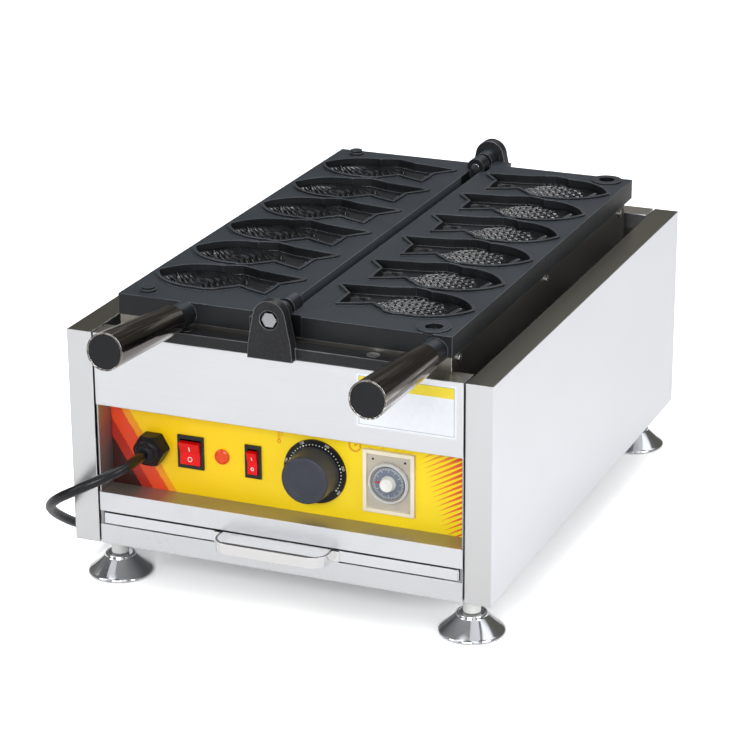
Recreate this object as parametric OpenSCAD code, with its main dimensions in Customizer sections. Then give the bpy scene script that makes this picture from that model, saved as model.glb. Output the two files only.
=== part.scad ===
// Countertop fish-waffle maker: two hinged cast plates over heater trays,
// in a folded steel casing with a recessed control panel and a crumb drawer.
// Millimetres, +Z up, front towards -Y, origin under the middle of the whole object.

/* [Casing] */
// Width of the casing, left to right
body_w = 400; // [380:5:440]
// Depth of the casing, front to back
body_d = 538; // [530:2:580]
// Height of the casing without its feet
body_h = 201; // [196:1:220]
// Thickness of the steel sheet
sheet = 1.2; // [0.8:0.1:1.8]
// Width of the flanges folded round the side covers
cover_flange = 24; // [18:1:28]
// Dark gap between a side cover and the front pieces
seam = 2; // [1:0.5:4]
// Depth of the flanges on top of the front and rear
top_flange = 24; // [20:1:26]
// Clearance between sheets that lie side by side
fold_gap = 0.3; // [0.1:0.1:0.5]
// Height of the strip below the drawer
rail_h = 18.5; // [14:0.5:24]
// Height of the slot for the drawer
slot_h = 13; // [11:0.5:18]
// Height of the strip above the drawer
strip_h = 18; // [12:1:22]
// Height of the front above the recess for the controls
front_h = 67.5; // [60:0.5:70]
// Depth of the recess that holds the controls
recess_d = 25; // [22:1:30]
// Number of vent slots across the rear cover
vent_count = 12; // [6:1:14]
// Length of a vent slot
vent_l = 50; // [30:5:70]
// Width of a vent slot
vent_w = 5; // [3:0.5:7]

/* [Feet] */
// Height of the casing above the surface
foot_h = 45; // [42:1:60]
// Diameter of a foot where it stands
foot_d = 60; // [50:1:64]
// Diameter of the ring on top of a foot
foot_ring_d = 28; // [26:1:36]
// Height of a foot's metal bell
bell_h = 20; // [18:1:36]
// Diameter of a nylon sleeve
sleeve_d = 16; // [14:1:22]
// Diameter of a foot's stud
stud_d = 10; // [8:1:11]
// Distance from the casing's side to the middle of a foot
foot_in_x = 27.5; // [26:0.5:36]
// How far all the feet stand to the left of the middle
foot_left = 4; // [0:0.5:8]
// Distance from the casing's front to the middle of a front foot
foot_in_front = 39; // [36:1:60]
// Distance from the casing's back to the middle of a rear foot
foot_in_back = 24; // [22:1:60]

/* [Plates] */
// Width of one plate
plate_w = 151; // [146:1:156]
// Length of a plate, front to back
plate_l = 502; // [496:1:512]
// Thickness of a plate
plate_t = 19; // [17:0.5:22]
// Gap between the two open plates
plate_gap = 11.6; // [8:0.2:16]
// Height of the plates' undersides above the casing
plate_rise = 14; // [13:0.5:20]
// Number of moulds in a plate
fish_count = 6; // [2:1:6]
// Distance from one mould to the next
fish_pitch = 75; // [74:0.5:80]
// Half length of a mould's body
fish_a = 46; // [38:1:48]
// Half width of a mould's body
fish_b = 31; // [26:1:32]
// Depth of the middle of a mould
fish_deep = 13; // [8:0.5:14]
// Depth of a mould's steep edge, and of its tail and fins
tail_deep = 6; // [4:0.5:7]
// Length of a mould's tail
tail_l = 39; // [30:1:42]
// How far a mould's body lies behind the middle of its pitch
fish_back = 3; // [0:0.5:4]
// How far a mould's back fin stands out
fin_out = 6; // [2:0.5:8]
// Distance from a plate's outer edge to the nose of a mould
nose_in = 7; // [6:0.5:12]
// Width of the raised rim round a mould
rim_w = 2.6; // [1.5:0.1:3]
// Height of the raised rim round a mould
rim_h = 2.5; // [1:0.1:2.8]
// Diameter of a locating pin
pin_d = 15; // [10:1:16]
// Height of a locating pin
pin_h = 5; // [4.2:0.1:5.6]
// Diameter of the ring that takes a locating pin
socket_d = 30; // [26:1:32]
// Height of the ring that takes a locating pin
socket_h = 2; // [1:0.1:2.4]
// Room round a locating pin in its ring
pin_room = 0.6; // [0.4:0.1:1]

/* [Hinge] */
// Height of the hinge's axis above the faces of the plates
axis_rise = 3; // [3:0.1:4]
// Radius of the hinge knuckles
knuckle_r = 9; // [8:0.5:11]
// Length of a hinge knuckle
knuckle_l = 17; // [12:1:17]
// Gap between the inner and the outer knuckle
knuckle_gap = 6; // [2:0.5:8]
// Diameter of the hinge bolts
bolt_d = 8; // [6:0.5:10]
// Running clearance round a hinge bolt
run_fit = 0.08; // [0.03:0.01:0.1]
// Gap between parts that swing past each other
swing_gap = 1; // [0.8:0.1:2]
// Height of the bars that carry the hinge brackets
bar_h = 10.5; // [8:0.5:11.5]
// Half length of the bars that carry the hinge brackets
bar_half = 115; // [60:5:150]
// Thickness of a hinge bracket
bracket_t = 11; // [9:0.5:14]
// Width of a hinge bracket at its foot
bracket_w = 42; // [36:1:60]
// Radius of a hinge bracket's round top
bracket_r = 15; // [12:0.5:18]
// How far a hinge bracket stands out from the casing
bracket_out = 8; // [6:0.5:12]

/* [Handles] */
// Distance from the hinge axis to the left handle
left_handle_x = 92; // [80:1:100]
// Distance from the hinge axis to the right handle
right_handle_x = 142; // [136:1:144]
// Reach of a handle beyond its plate
handle_l = 150; // [110:5:180]
// Diameter of a handle at its socket
handle_d1 = 26; // [22:1:28]
// Diameter of a handle at its end
handle_d2 = 33; // [28:1:36]
// Wall of a handle's tube
handle_wall = 1.5; // [1:0.1:2]
// Upward tilt of the left handle, in degrees
left_tilt = 5.5; // [2:0.1:7]
// Upward tilt of the right handle, in degrees
right_tilt = 3.3; // [2:0.1:7]
// Depth of the left handle's middle below the face of its plate
left_drop = 10.5; // [9:0.5:11]
// Depth of the right handle's middle below the face of its plate
right_drop = 14; // [9:0.5:15]
// Length of the socket that holds a handle
collar_l = 26; // [22:1:34]
// Radius of the socket that holds a handle
collar_r = 11; // [10:0.5:11]

/* [Drawer] */
// Length of the crumb drawer
drawer_l = 470; // [300:10:500]
// Clearance round the drawer's front
drawer_gap = 1.5; // [0.3:0.1:1.8]
// Height of the drawer's pull
pull_h = 10; // [6:0.5:10]
// Length of the drawer's pull
pull_l = 108; // [80:2:160]
// Reach of the drawer's pull
pull_out = 24; // [18:1:34]

/* [Controls] */
// How far the controls sit below the middle of their panel
control_low = 1; // [0:0.5:2]
// Distance from the gland to the recess's left side
gland_in = 44; // [40:1:48]
// Distance from the middle of the timer to the recess's right side
timer_in = 77; // [70:1:84]
// Distance between the middles of the power switch and of the gland
power_step = 36.5; // [34:0.5:40]
// Distance from one of the lamp and switches to the next
switch_step = 30.5; // [28:0.5:34]
// Distance between the middles of the timer and of the temperature dial
dial_step = 70; // [64:1:76]
// Depth of the timer behind its frame
timer_deep = 55; // [45:1:70]
// Width and height of the thermostat
thermostat_w = 44; // [38:1:50]
// Depth of the thermostat
thermostat_deep = 32; // [28:1:40]
// Diameter of the temperature dial
dial_d = 59; // [50:1:64]
// Diameter of the temperature knob
knob_d = 43; // [34:1:48]
// Height of the temperature knob
knob_h = 23; // [14:1:28]
// Diameter of the thermostat's shaft
shaft_d = 6; // [5:0.5:8]
// Width of the power switch
power_w = 25.5; // [22:0.5:28]
// Width of the alarm switch
alarm_w = 15.5; // [13:0.5:18]
// Height of both switches
switch_h = 31; // [28:0.5:34]
// Swing of a rocker from off to on, in degrees
rocker_swing = 16; // [10:1:20]
// Diameter of the pilot lamp
lamp_d = 14; // [10:0.5:18]
// Width of the timer's frame
timer_w = 48; // [44:1:52]
// Height of the timer's frame
timer_h = 58; // [54:1:62]
// Diameter of the round window on the timer
timer_ring_d = 37; // [34:1:40]
// Width across the flats of the cable gland
gland_w = 27; // [22:1:30]
// Length of the cable gland in front of the panel
gland_l = 24; // [20:1:30]

/* [Heaters] */
// Depth of a heater tray below the casing's top
tray_deep = 47; // [40:1:47]
// Diameter of a heating element
element_d = 8; // [6:0.5:10]
// Room between a heater tray and the plate that rests over it
tray_room = 0.4; // [0.3:0.1:1]

/* [Cord] */
// Diameter of the mains cord
cord_d = 9; // [8:0.5:10]
// Turns in the stowed coil
coil_turns = 3.25; // [2.25:1:4.25]
// Diameter of the plug's body
plug_d = 36; // [32:1:40]

/* [Hidden] */
$fn = 64;
eps = 0.01;

// Levels above the surface
z_base = foot_h;
z_slot = z_base + rail_h;
z_strip = z_slot + slot_h;
z_ledge = z_strip + strip_h;
z_top = z_base + body_h;
z_recess = z_top - front_h;
recess_h = z_recess - z_ledge;
z_plate = z_top + plate_rise;
z_face = z_plate + plate_t;
z_axis = z_face + axis_rise;
z_controls = z_ledge + recess_h / 2 - control_low;

// Half sizes of the casing, and the lines where its pieces meet
half_w = body_w / 2;
half_d = body_d / 2;
front_half = half_w - cover_flange - seam;
wall_in = front_half - sheet;
inner_half = wall_in - fold_gap;
wall_front = half_d - sheet;
wall_back = half_d - 2 * sheet - fold_gap;
y_panel = -(half_d - recess_d);

// Hinge places, measured outwards from the middle
y_bracket = half_d + bracket_out;
y_ear = y_bracket - bracket_t;
outer_knuckle = y_ear - swing_gap;
inner_knuckle = outer_knuckle - knuckle_l - knuckle_gap;
bolt_head = 5;
bolt_flat = 12;
bolt_head_room = 2.5;

// The object's reach in front and behind sets the origin
function handle_reach(tilt) = handle_l * cos(tilt) + handle_d2 / 2 * sin(tilt);
front_reach = plate_l / 2 + max(handle_reach(left_tilt), handle_reach(right_tilt));
y_shift = (front_reach - y_bracket) / 2;

// Plates
plate_x = plate_gap / 2;
plate_edge = plate_x + plate_w;
fish_x = plate_edge - nose_in - fish_a;
fish_r = (fish_a * fish_a + fish_b * fish_b) / (2 * fish_b);
fish_off = fish_r - fish_b;
// Height of the ball centres above the tail's floor, so that the bowl is bowl_deep deep
bowl_deep = fish_deep - tail_deep;
bowl_r = fish_r - 1;
ball_up = (bowl_r * bowl_r - fish_off * fish_off - bowl_deep * bowl_deep) / (2 * bowl_deep);
ball_r = sqrt(bowl_r * bowl_r + ball_up * ball_up);
pin_x = plate_edge - 22;
pin_y = plate_l / 2 - pin_d / 2 - 7;
notch_front = plate_x + 12.5;
notch_rear = knuckle_r + swing_gap + 1;

// Heater trays
tray_x0 = plate_x + 2;
tray_x1 = plate_edge - 0.8;
tray_y0 = -(plate_l / 2 - 1);
tray_y1 = plate_l / 2 - 22;
tray_drop_y = -(half_d - top_flange - 1.5);
z_tray = z_top - tray_deep;
z_tray_top = z_plate - tray_room;
z_element = z_top - 8;
rail_size = z_tray - z_recess;

// Control places from the middle of the casing
gland_x = gland_in - front_half;
power_x = gland_x + power_step;
lamp_x = power_x + switch_step;
alarm_x = lamp_x + switch_step;
timer_x = front_half - timer_in;
dial_x = timer_x - dial_step;
rocker_pivot = 1.6;
rocker_fit = 0.08;

// Cord route in front of and beside the casing: round numbers chosen by hand
cord_r = cord_d / 2;
cord_z = cord_r;
coil_r = 5.6 * cord_d;
coil_step = cord_d + 1.7;
coil_x = -133;
coil_y = 364;
gland_end = y_panel - gland_l;
cord_points = [
    [gland_x, gland_end, z_controls], [gland_x, gland_end - 14, z_controls],
    [-134, -302, 134], [-148, -318, 128], [-167, -325, 118.5], [-187, -321.5, 106.5],
    [-202, -309, 93], [-210.5, -290, 78.5], [-215, -267, 63], [-217, -242, 47.5],
    [-217, -214, 32.5], [-217, -186, 19.5], [-217, -158, 9.5], [-217, -128, cord_z],
    [-217, -100, cord_z], [-217, -70, cord_z], [-217, -20, cord_z], [-217, 40, cord_z],
    [-217, 100, cord_z], [-217, 160, cord_z], [-217, 215, cord_z], [-217, 240, cord_z],
    [-214, 264, cord_z], [-206, 288, cord_z], [-196, 311, cord_z], [-190, 334, cord_z],
    [coil_x - coil_r - coil_step / 2, coil_y - cord_d, cord_z]];

// A block given by two opposite corners
module block(a, b) {
    translate(a) cube(b - a);
}

// A round bar along Y, from y0 to y1
module bar_y(x, y0, y1, z, r) {
    translate([x, y0, z]) rotate([-90, 0, 0]) cylinder(r = r, h = y1 - y0);
}

// A round bar along X, from x0 to x1
module bar_x(x0, x1, y, z, r) {
    translate([x0, y, z]) rotate([0, 90, 0]) cylinder(r = r, h = x1 - x0);
}

// Moves a piece from the casing's middle to the object's origin
module placed() {
    translate([0, y_shift, 0]) children();
}

// Points of a smooth curve through the points p, n steps to a span
function spline_at(a, b, c, d, t) =
    0.5 * (2 * b + (c - a) * t + (2 * a - 5 * b + 4 * c - d) * t * t
    + (3 * b - a - 3 * c + d) * t * t * t);
function smooth(p, n) = concat([for (i = [0:len(p) - 2], k = [0:n - 1])
    spline_at(p[max(i - 1, 0)], p[i], p[i + 1], p[min(i + 2, len(p) - 1)], k / n)],
    [p[len(p) - 1]]);
function unit(v) = v / norm(v);
function route_length(p) = [for (i = 0, s = 0; i < len(p); i = i + 1,
    s = i < len(p) ? s + norm(p[i] - p[i - 1]) : s) s];

// A tube swept along the points p; its end faces are square to first and last
module swept_tube(p, r, sides, first, last) {
    n = len(p);
    ways = [for (i = [0:n - 1]) i == 0 ? first : i == n - 1 ? last : unit(p[i + 1] - p[i - 1])];
    rings = [for (i = [0:n - 1])
        let (side = unit(cross(ways[i], abs(ways[i][2]) > 0.9 ? [1, 0, 0] : [0, 0, 1])),
            up = cross(side, ways[i]))
        for (k = [0:sides - 1]) p[i] + r * (cos(k * 360 / sides) * side + sin(k * 360 / sides) * up)];
    skin = [for (i = [0:n - 2], k = [0:sides - 1]) let (m = (k + 1) % sides)
        each [[i * sides + k, i * sides + m, (i + 1) * sides + k],
            [i * sides + m, (i + 1) * sides + m, (i + 1) * sides + k]]];
    polyhedron(rings, concat(skin, [[for (k = [sides - 1:-1:0]) k]],
        [[for (k = [0:sides - 1]) (n - 1) * sides + k]]));
}

module chassis() {
    color("silver") placed() {
        block([-(half_w - sheet - fold_gap), -wall_front, z_base + sheet],
            [half_w - sheet - fold_gap, wall_back, z_base + 2 * sheet]);
        for (side = [0, 1]) mirror([side, 0, 0])
            block([wall_in, -wall_front, z_base + sheet], [front_half, wall_back, z_recess]);
    }
}

function foot_place(side, end) = [side * (half_w - foot_in_x) - foot_left,
    end < 0 ? -half_d + foot_in_front : half_d - foot_in_back, 0];

// A pan that is open towards the middle, with a lip along its top flange; it is drawn for the
// right side, and the left one is mirrored
module side_cover(side) {
    difference() {
        block([half_w - cover_flange, -half_d, z_base], [half_w, half_d, z_top]);
        block([half_w - cover_flange - 1, -half_d + sheet, z_base + sheet],
            [half_w - sheet, half_d - sheet, z_top - sheet]);
        for (end = [-1, 1])
            translate([side * foot_place(side, end).x, foot_place(side, end).y, z_base - 1])
                cylinder(d = sleeve_d + 2, h = sheet + 2);
    }
    block([half_w - cover_flange, -half_d + sheet / 2, z_top - 11],
        [half_w - cover_flange + sheet, half_d - sheet / 2, z_top - sheet / 2]);
}

module left_side_cover() {
    color("gainsboro") placed() mirror([1, 0, 0]) side_cover(-1);
}

module right_side_cover() {
    color("gainsboro") placed() side_cover(1);
}

// The upper front: a pan open to the rear, whose floor is the recess's ceiling
module front_cover() {
    color("whitesmoke") placed() {
        difference() {
            block([-front_half, -half_d, z_recess], [front_half, -half_d + top_flange, z_top]);
            block([-wall_in, -wall_front, z_recess + sheet],
                [wall_in, -half_d + top_flange + 1, z_top - sheet]);
            for (side = [-1, 1]) bar_screw_hole(side, -1);
        }
        block([-inner_half, -half_d + top_flange - sheet, z_recess],
            [inner_half, y_panel + sheet, z_recess + sheet]);
    }
}

bar_screw_x = 88;
bar_screw_d = 5;
bar_y_mid = half_d - 11;
module bar_screw_hole(side, end) {
    translate([side * bar_screw_x, end * bar_y_mid, z_top - 12])
        cylinder(d = bar_screw_d + 0.4, h = 12 + bar_h + 1);
}

// The yellow panel at the back of the recess, with the cut-outs for its controls
module control_panel() {
    color("gold") placed() difference() {
        block([-inner_half, y_panel, z_ledge], [inner_half, y_panel + sheet, z_recess]);
        bar_y(gland_x, y_panel - 1, y_panel + sheet + 1, z_controls, gland_thread / 2 + 0.2);
        panel_slot(power_x, power_w - 3, switch_h - 3);
        panel_slot(alarm_x, alarm_w - 3, switch_h - 3);
        panel_slot(timer_x, timer_w - 4, timer_h - 4);
        bar_y(lamp_x, y_panel - 1, y_panel + sheet + 1, z_controls, lamp_d / 2 - 1);
        bar_y(dial_x, y_panel - 1, y_panel + sheet + 1, z_controls, shaft_d / 2 + 2.2);
    }
}

panel_fit = 0.2;
module panel_slot(x, w, h) {
    block([x - w / 2 - panel_fit, y_panel - 1, z_controls - h / 2 - panel_fit],
        [x + w / 2 + panel_fit, y_panel + sheet + 1, z_controls + h / 2 + panel_fit]);
}

// The strip above the drawer, folded back as the ledge under the panel
module ledge_rail() {
    color("silver") placed() {
        block([-front_half, -half_d, z_strip], [front_half, -wall_front, z_ledge]);
        block([-inner_half, -wall_front - eps, z_ledge - sheet],
            [inner_half, y_panel + sheet, z_ledge]);
    }
}

module bottom_rail() {
    color("silver") placed()
        block([-front_half, -half_d, z_base], [front_half, -wall_front, z_slot]);
}

module rear_cover() {
    vent_step = (front_half - 30) / (vent_count / 2);
    color("gainsboro") placed() difference() {
        block([-front_half, wall_back + fold_gap, z_base + 2 * sheet + fold_gap],
            [front_half, wall_back + fold_gap + sheet, z_top - sheet - fold_gap]);
        for (i = [0:vent_count - 1], row = [0, 1])
            translate([(i - (vent_count - 1) / 2) * vent_step, half_d - 20,
                z_base + body_h * (0.28 + 0.34 * row)])
                rotate([-90, 0, 0]) linear_extrude(30) {
                    square([vent_w, vent_l - vent_w], center = true);
                    for (tip = [-1, 1]) translate([0, tip * (vent_l - vent_w) / 2])
                        circle(d = vent_w, $fn = 24);
                }
        for (x = [-1, 0, 1]) rear_screw_hole(x);
    }
}

rear_screw_z = z_top - 14;
rear_screw_d = 4;
module rear_screw_hole(x) {
    bar_y(x * (front_half - 14), half_d - 10, half_d + 1, rear_screw_z, rear_screw_d / 2 + 0.1);
}

// The rail across the top of the rear: a flange with a leg behind and a lip in front
module rear_top_rail() {
    color("silver") placed() difference() {
        union() {
            block([-front_half, half_d - top_flange, z_top - sheet], [front_half, half_d, z_top]);
            block([-front_half, half_d - sheet, z_top - 26], [front_half, half_d, z_top]);
            block([-front_half, half_d - top_flange, z_top - 16],
                [front_half, half_d - top_flange + sheet, z_top]);
        }
        for (side = [-1, 1]) bar_screw_hole(side, 1);
        for (x = [-1, 0, 1]) rear_screw_hole(x);
    }
}

// Two square tubes on the chassis walls, under the heater trays
cross_rail_y = 180;
module cross_rails() {
    color("gray") placed() for (end = [-1, 1]) translate([0, end * cross_rail_y, 0])
        difference() {
            block([-front_half, -rail_size / 2, z_recess], [front_half, rail_size / 2, z_tray]);
            block([-front_half - 1, -rail_size / 2 + sheet, z_recess + sheet],
                [front_half + 1, rail_size / 2 - sheet, z_tray - sheet]);
        }
}

// The folded shield between the hot space and the electrical parts
shield_y = -160;
module heat_shield() {
    color("silver") placed() difference() {
        union() {
            block([-inner_half, shield_y, z_ledge], [inner_half, shield_y + sheet, z_recess - 1]);
            block([-inner_half, y_panel + sheet + fold_gap, z_recess - 1 - sheet],
                [inner_half, shield_y + sheet, z_recess - 1]);
        }
        bar_y(dial_x, shield_y - 1, shield_y + sheet + 1, z_controls, probe_tube_r + 0.6);
    }
}

// Angle rails on the chassis walls, on which the drawer slides
runner_w = 16;
z_drawer = z_slot + drawer_gap;
z_runner = z_drawer - fold_gap;
drawer_half = inner_half - sheet - 1;
module drawer_runners() {
    color("silver") placed() for (side = [0, 1]) mirror([side, 0, 0]) {
        block([inner_half - runner_w, -wall_front + fold_gap, z_runner - sheet],
            [inner_half, -half_d + drawer_l + 5, z_runner]);
        block([inner_half - sheet, -wall_front + fold_gap, z_runner - eps],
            [inner_half, -half_d + drawer_l + 5, z_strip - 1]);
    }
}

front_proud = 0.5;
module crumb_drawer() {
    front_x = front_half - 4.5;
    color("lightgray") placed() {
        block([-front_x, -half_d - front_proud, z_drawer],
            [front_x, -half_d + sheet, z_strip - drawer_gap]);
        difference() {
            block([-drawer_half, -half_d + sheet - eps, z_drawer],
                [drawer_half, -half_d + drawer_l, z_strip - 2]);
            block([-drawer_half + sheet, -half_d + sheet, z_drawer + sheet],
                [drawer_half - sheet, -half_d + drawer_l - sheet, z_strip]);
        }
    }
}

// A bowed strip of steel with two feet against the drawer's front
pull_t = 2;
pull_foot = 8;
z_pull = (z_slot + z_strip - pull_h) / 2;
module drawer_pull() {
    r = 16;
    w = pull_l / 2;
    color("silver") placed() translate([0, -half_d - front_proud, z_pull]) linear_extrude(pull_h) {
        difference() {
            pull_outline(w, pull_out, r);
            pull_outline(w - pull_t, pull_out - pull_t, r - pull_t);
        }
        for (side = [-1, 1]) translate([side * (w + pull_foot / 2 - pull_t), -pull_t / 2])
            square([pull_foot, pull_t], center = true);
    }
}

// The strip's outside or inside as seen from above, cut off at the drawer's front
module pull_outline(w, reach, r) {
    intersection() {
        translate([-w, -reach]) square([2 * w, reach]);
        union() {
            translate([-w, -reach + r]) square([2 * w, reach - r + eps]);
            translate([-w + r, -reach]) square([2 * (w - r), reach]);
            for (side = [-1, 1]) translate([side * (w - r), -reach + r]) circle(r = r);
        }
    }
}

// A deep box under one plate; its front rim stands on the casing's top flange
element_x = [for (share = [0.16, 0.38, 0.63, 0.85]) plate_x + share * plate_w];
module heater_tray() {
    difference() {
        union() {
            block([tray_x0, tray_y0, z_top], [tray_x1, tray_y1, z_tray_top]);
            block([tray_x0, tray_drop_y, z_tray], [tray_x1, tray_y1, z_top + 1]);
        }
        block([tray_x0 + sheet, tray_y0 + sheet, z_top + sheet],
            [tray_x1 - sheet, tray_y1 - sheet, z_tray_top + 1]);
        block([tray_x0 + sheet, tray_drop_y + sheet, z_tray + sheet],
            [tray_x1 - sheet, tray_y1 - sheet, z_tray_top + 1]);
        for (x = [element_x[0], element_x[3]])
            bar_y(x, tray_y1 - 5, tray_y1 + 1, z_element, element_d / 2 + 0.2);
        for (y = tray_screw_y) bar_x(tray_x1 - 5, tray_x1 + 1, y, z_tray_screw, 2.2);
    }
}

tray_screw_y = [tray_y0 + 17, -8, tray_y1 - 17];
z_tray_screw = z_top + 9;
module tray_screws() {
    color("white") placed() for (side = [0, 1], y = tray_screw_y) mirror([side, 0, 0]) {
        bar_x(tray_x1 - 6, tray_x1 + 0.1, y, z_tray_screw, 2);
        bar_x(tray_x1 + 0.1, tray_x1 + 1.8, y, z_tray_screw, 3.4);
        bar_x(tray_x1 - sheet - 2.6, tray_x1 - sheet - 0.1, y, z_tray_screw, 3.6);
    }
}

module left_heater_tray() {
    color("slategray") placed() mirror([1, 0, 0]) heater_tray();
}

module right_heater_tray() {
    color("slategray") placed() heater_tray();
}

// One tube bent back and forth: four long legs joined by three half circles
module heating_element() {
    r = element_d / 2;
    y0 = tray_drop_y + 40;
    y1 = tray_y1 - 50;
    for (i = [0:3])
        bar_y(element_x[i], y0, i == 0 || i == 3 ? tray_y1 + 8 : y1, z_element, r);
    for (turn = [[0, y0, -1], [2, y0, -1], [1, y1, 1]]) {
        bend = (element_x[turn[0] + 1] - element_x[turn[0]]) / 2;
        translate([element_x[turn[0]] + bend, turn[1], z_element])
            rotate([0, 0, turn[2] > 0 ? 0 : 180])
                rotate_extrude(angle = 180) translate([bend, 0]) circle(r = r, $fn = 24);
    }
}

module left_heating_element() {
    color("dimgray") placed() mirror([1, 0, 0]) heating_element();
}

module right_heating_element() {
    color("dimgray") placed() heating_element();
}

// A cast bar with an upright bracket that carries one end of the hinge
bar_back = half_d + tray_y0 - fold_gap;
bolt_room = 3;
module hinge_bar() {
    z_crown = z_axis + 2;
    difference() {
        union() {
            block([-bar_half, -half_d, z_top], [bar_half, -half_d + bar_back, z_top + bar_h]);
            translate([0, -y_ear, 0]) rotate([90, 0, 0]) linear_extrude(bracket_t) {
                translate([0, z_crown]) circle(r = bracket_r);
                polygon([[-bracket_w / 2, z_top], [bracket_w / 2, z_top],
                    [bracket_w / 2 - 1, z_top + 14], [bracket_r * cos(12), z_crown + bracket_r * sin(12)],
                    [-bracket_r * cos(12), z_crown + bracket_r * sin(12)],
                    [-bracket_w / 2 + 1, z_top + 14]]);
            }
        }
        bar_y(0, -y_bracket - 1, -y_ear + 1, z_axis, bolt_d / 2 + run_fit);
        bar_y(0, -y_bracket - 1, -y_bracket + bolt_head + 0.4, z_axis,
            bolt_flat / 2 + bolt_head_room);
        for (side = [-1, 1]) {
            translate([side * bar_screw_x, -bar_y_mid, z_top - 1])
                cylinder(d = bar_screw_d + 0.4, h = bar_h + 2);
            translate([side * bar_screw_x, -bar_y_mid, z_top + bar_h - 3])
                cylinder(d1 = bar_screw_d + 0.4, d2 = bar_screw_d + 7.4, h = 3 + eps);
        }
    }
}

module front_hinge_bar() {
    color("#2b2b2e") placed() hinge_bar();
}

module rear_hinge_bar() {
    color("#2b2b2e") placed() mirror([0, 1, 0]) hinge_bar();
}

// A hexagon bolt whose shank is the hinge pin of both plates
module hinge_bolt() {
    head_y = -y_bracket + 0.4;
    bar_y(0, head_y + bolt_head - eps, -inner_knuckle + knuckle_l + 1, z_axis, bolt_d / 2);
    translate([0, head_y + bolt_head, z_axis]) rotate([90, 0, 0])
        cylinder(d = bolt_flat / cos(30), h = bolt_head, $fn = 6);
}

module front_hinge_bolt() {
    color("lightgray") placed() hinge_bolt();
}

module rear_hinge_bolt() {
    color("lightgray") placed() mirror([0, 1, 0]) hinge_bolt();
}

module hinge_bar_screws() {
    color("gray") placed() for (side = [-1, 1], end = [-1, 1])
        translate([side * bar_screw_x, end * bar_y_mid, 0]) {
            translate([0, 0, z_top - 6]) cylinder(d = bar_screw_d, h = bar_h + 5);
            translate([0, 0, z_top + bar_h - 2.9])
                cylinder(d1 = bar_screw_d, d2 = bar_screw_d + 6.8, h = 2.8);
            translate([0, 0, z_top - sheet - 4]) cylinder(d = bar_screw_d + 3.5, h = 3.8);
        }
}

// Outline of a mould's body: two arcs that meet at the nose and at the tail
module lens(grow) {
    intersection_for(side = [-1, 1]) translate([0, side * fish_off]) circle(r = fish_r + grow, $fn = 96);
}

// Outline of a mould's forked tail and its two fins, from the back fin round to the belly
tail_base = fish_back + fish_b;
function tail_outline(grow) = [
    [fish_a, 0], [fish_a + grow, tail_base - 2], [38, tail_base + fin_out / 2 + grow],
    [26, tail_base + fin_out + grow], [16, tail_base + fin_out / 2 + grow],
    [6, tail_base - 1 + grow], [-13, 30 + grow], [-tail_l - grow, 26 + grow],
    [-tail_l - grow, 25 - grow / 2], [-tail_l + 16 - grow, 6], [-tail_l + 16 - grow, -8],
    [-tail_l + 17 - grow, -22 - grow], [-6, -15 - grow], [8, -8 - grow], [14, -15 - grow],
    [22, -25 - grow], [32, -29 - grow], [fish_a - 2, -27 - grow]];

module mould_outline(z0, h, grow) {
    translate([fish_x, fish_back, z0]) linear_extrude(h) lens(grow);
    translate([fish_x - fish_a, 0, z0]) linear_extrude(h) polygon(tail_outline(grow));
}

module fish_cavity() {
    mould_outline(z_face - tail_deep, tail_deep + rim_h + 1, 0);
    translate([fish_x, fish_back, z_face - tail_deep]) intersection() {
        block([-fish_a, -fish_b, -bowl_deep - 1], [fish_a, fish_b, 0.1]);
        intersection_for(side = [-1, 1]) translate([0, side * fish_off, ball_up])
            sphere(r = ball_r, $fn = 96);
    }
}

module fish_rim() {
    mould_outline(z_face - 1, rim_h + 1, rim_w);
}

// One knuckle on the hinge axis, with the web that joins it to its plate
module knuckle(y0) {
    bar_y(0, y0, y0 + knuckle_l, z_axis, knuckle_r);
    block([0, y0, z_plate + 5], [plate_x + 18, y0 + knuckle_l, z_face]);
}

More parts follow.
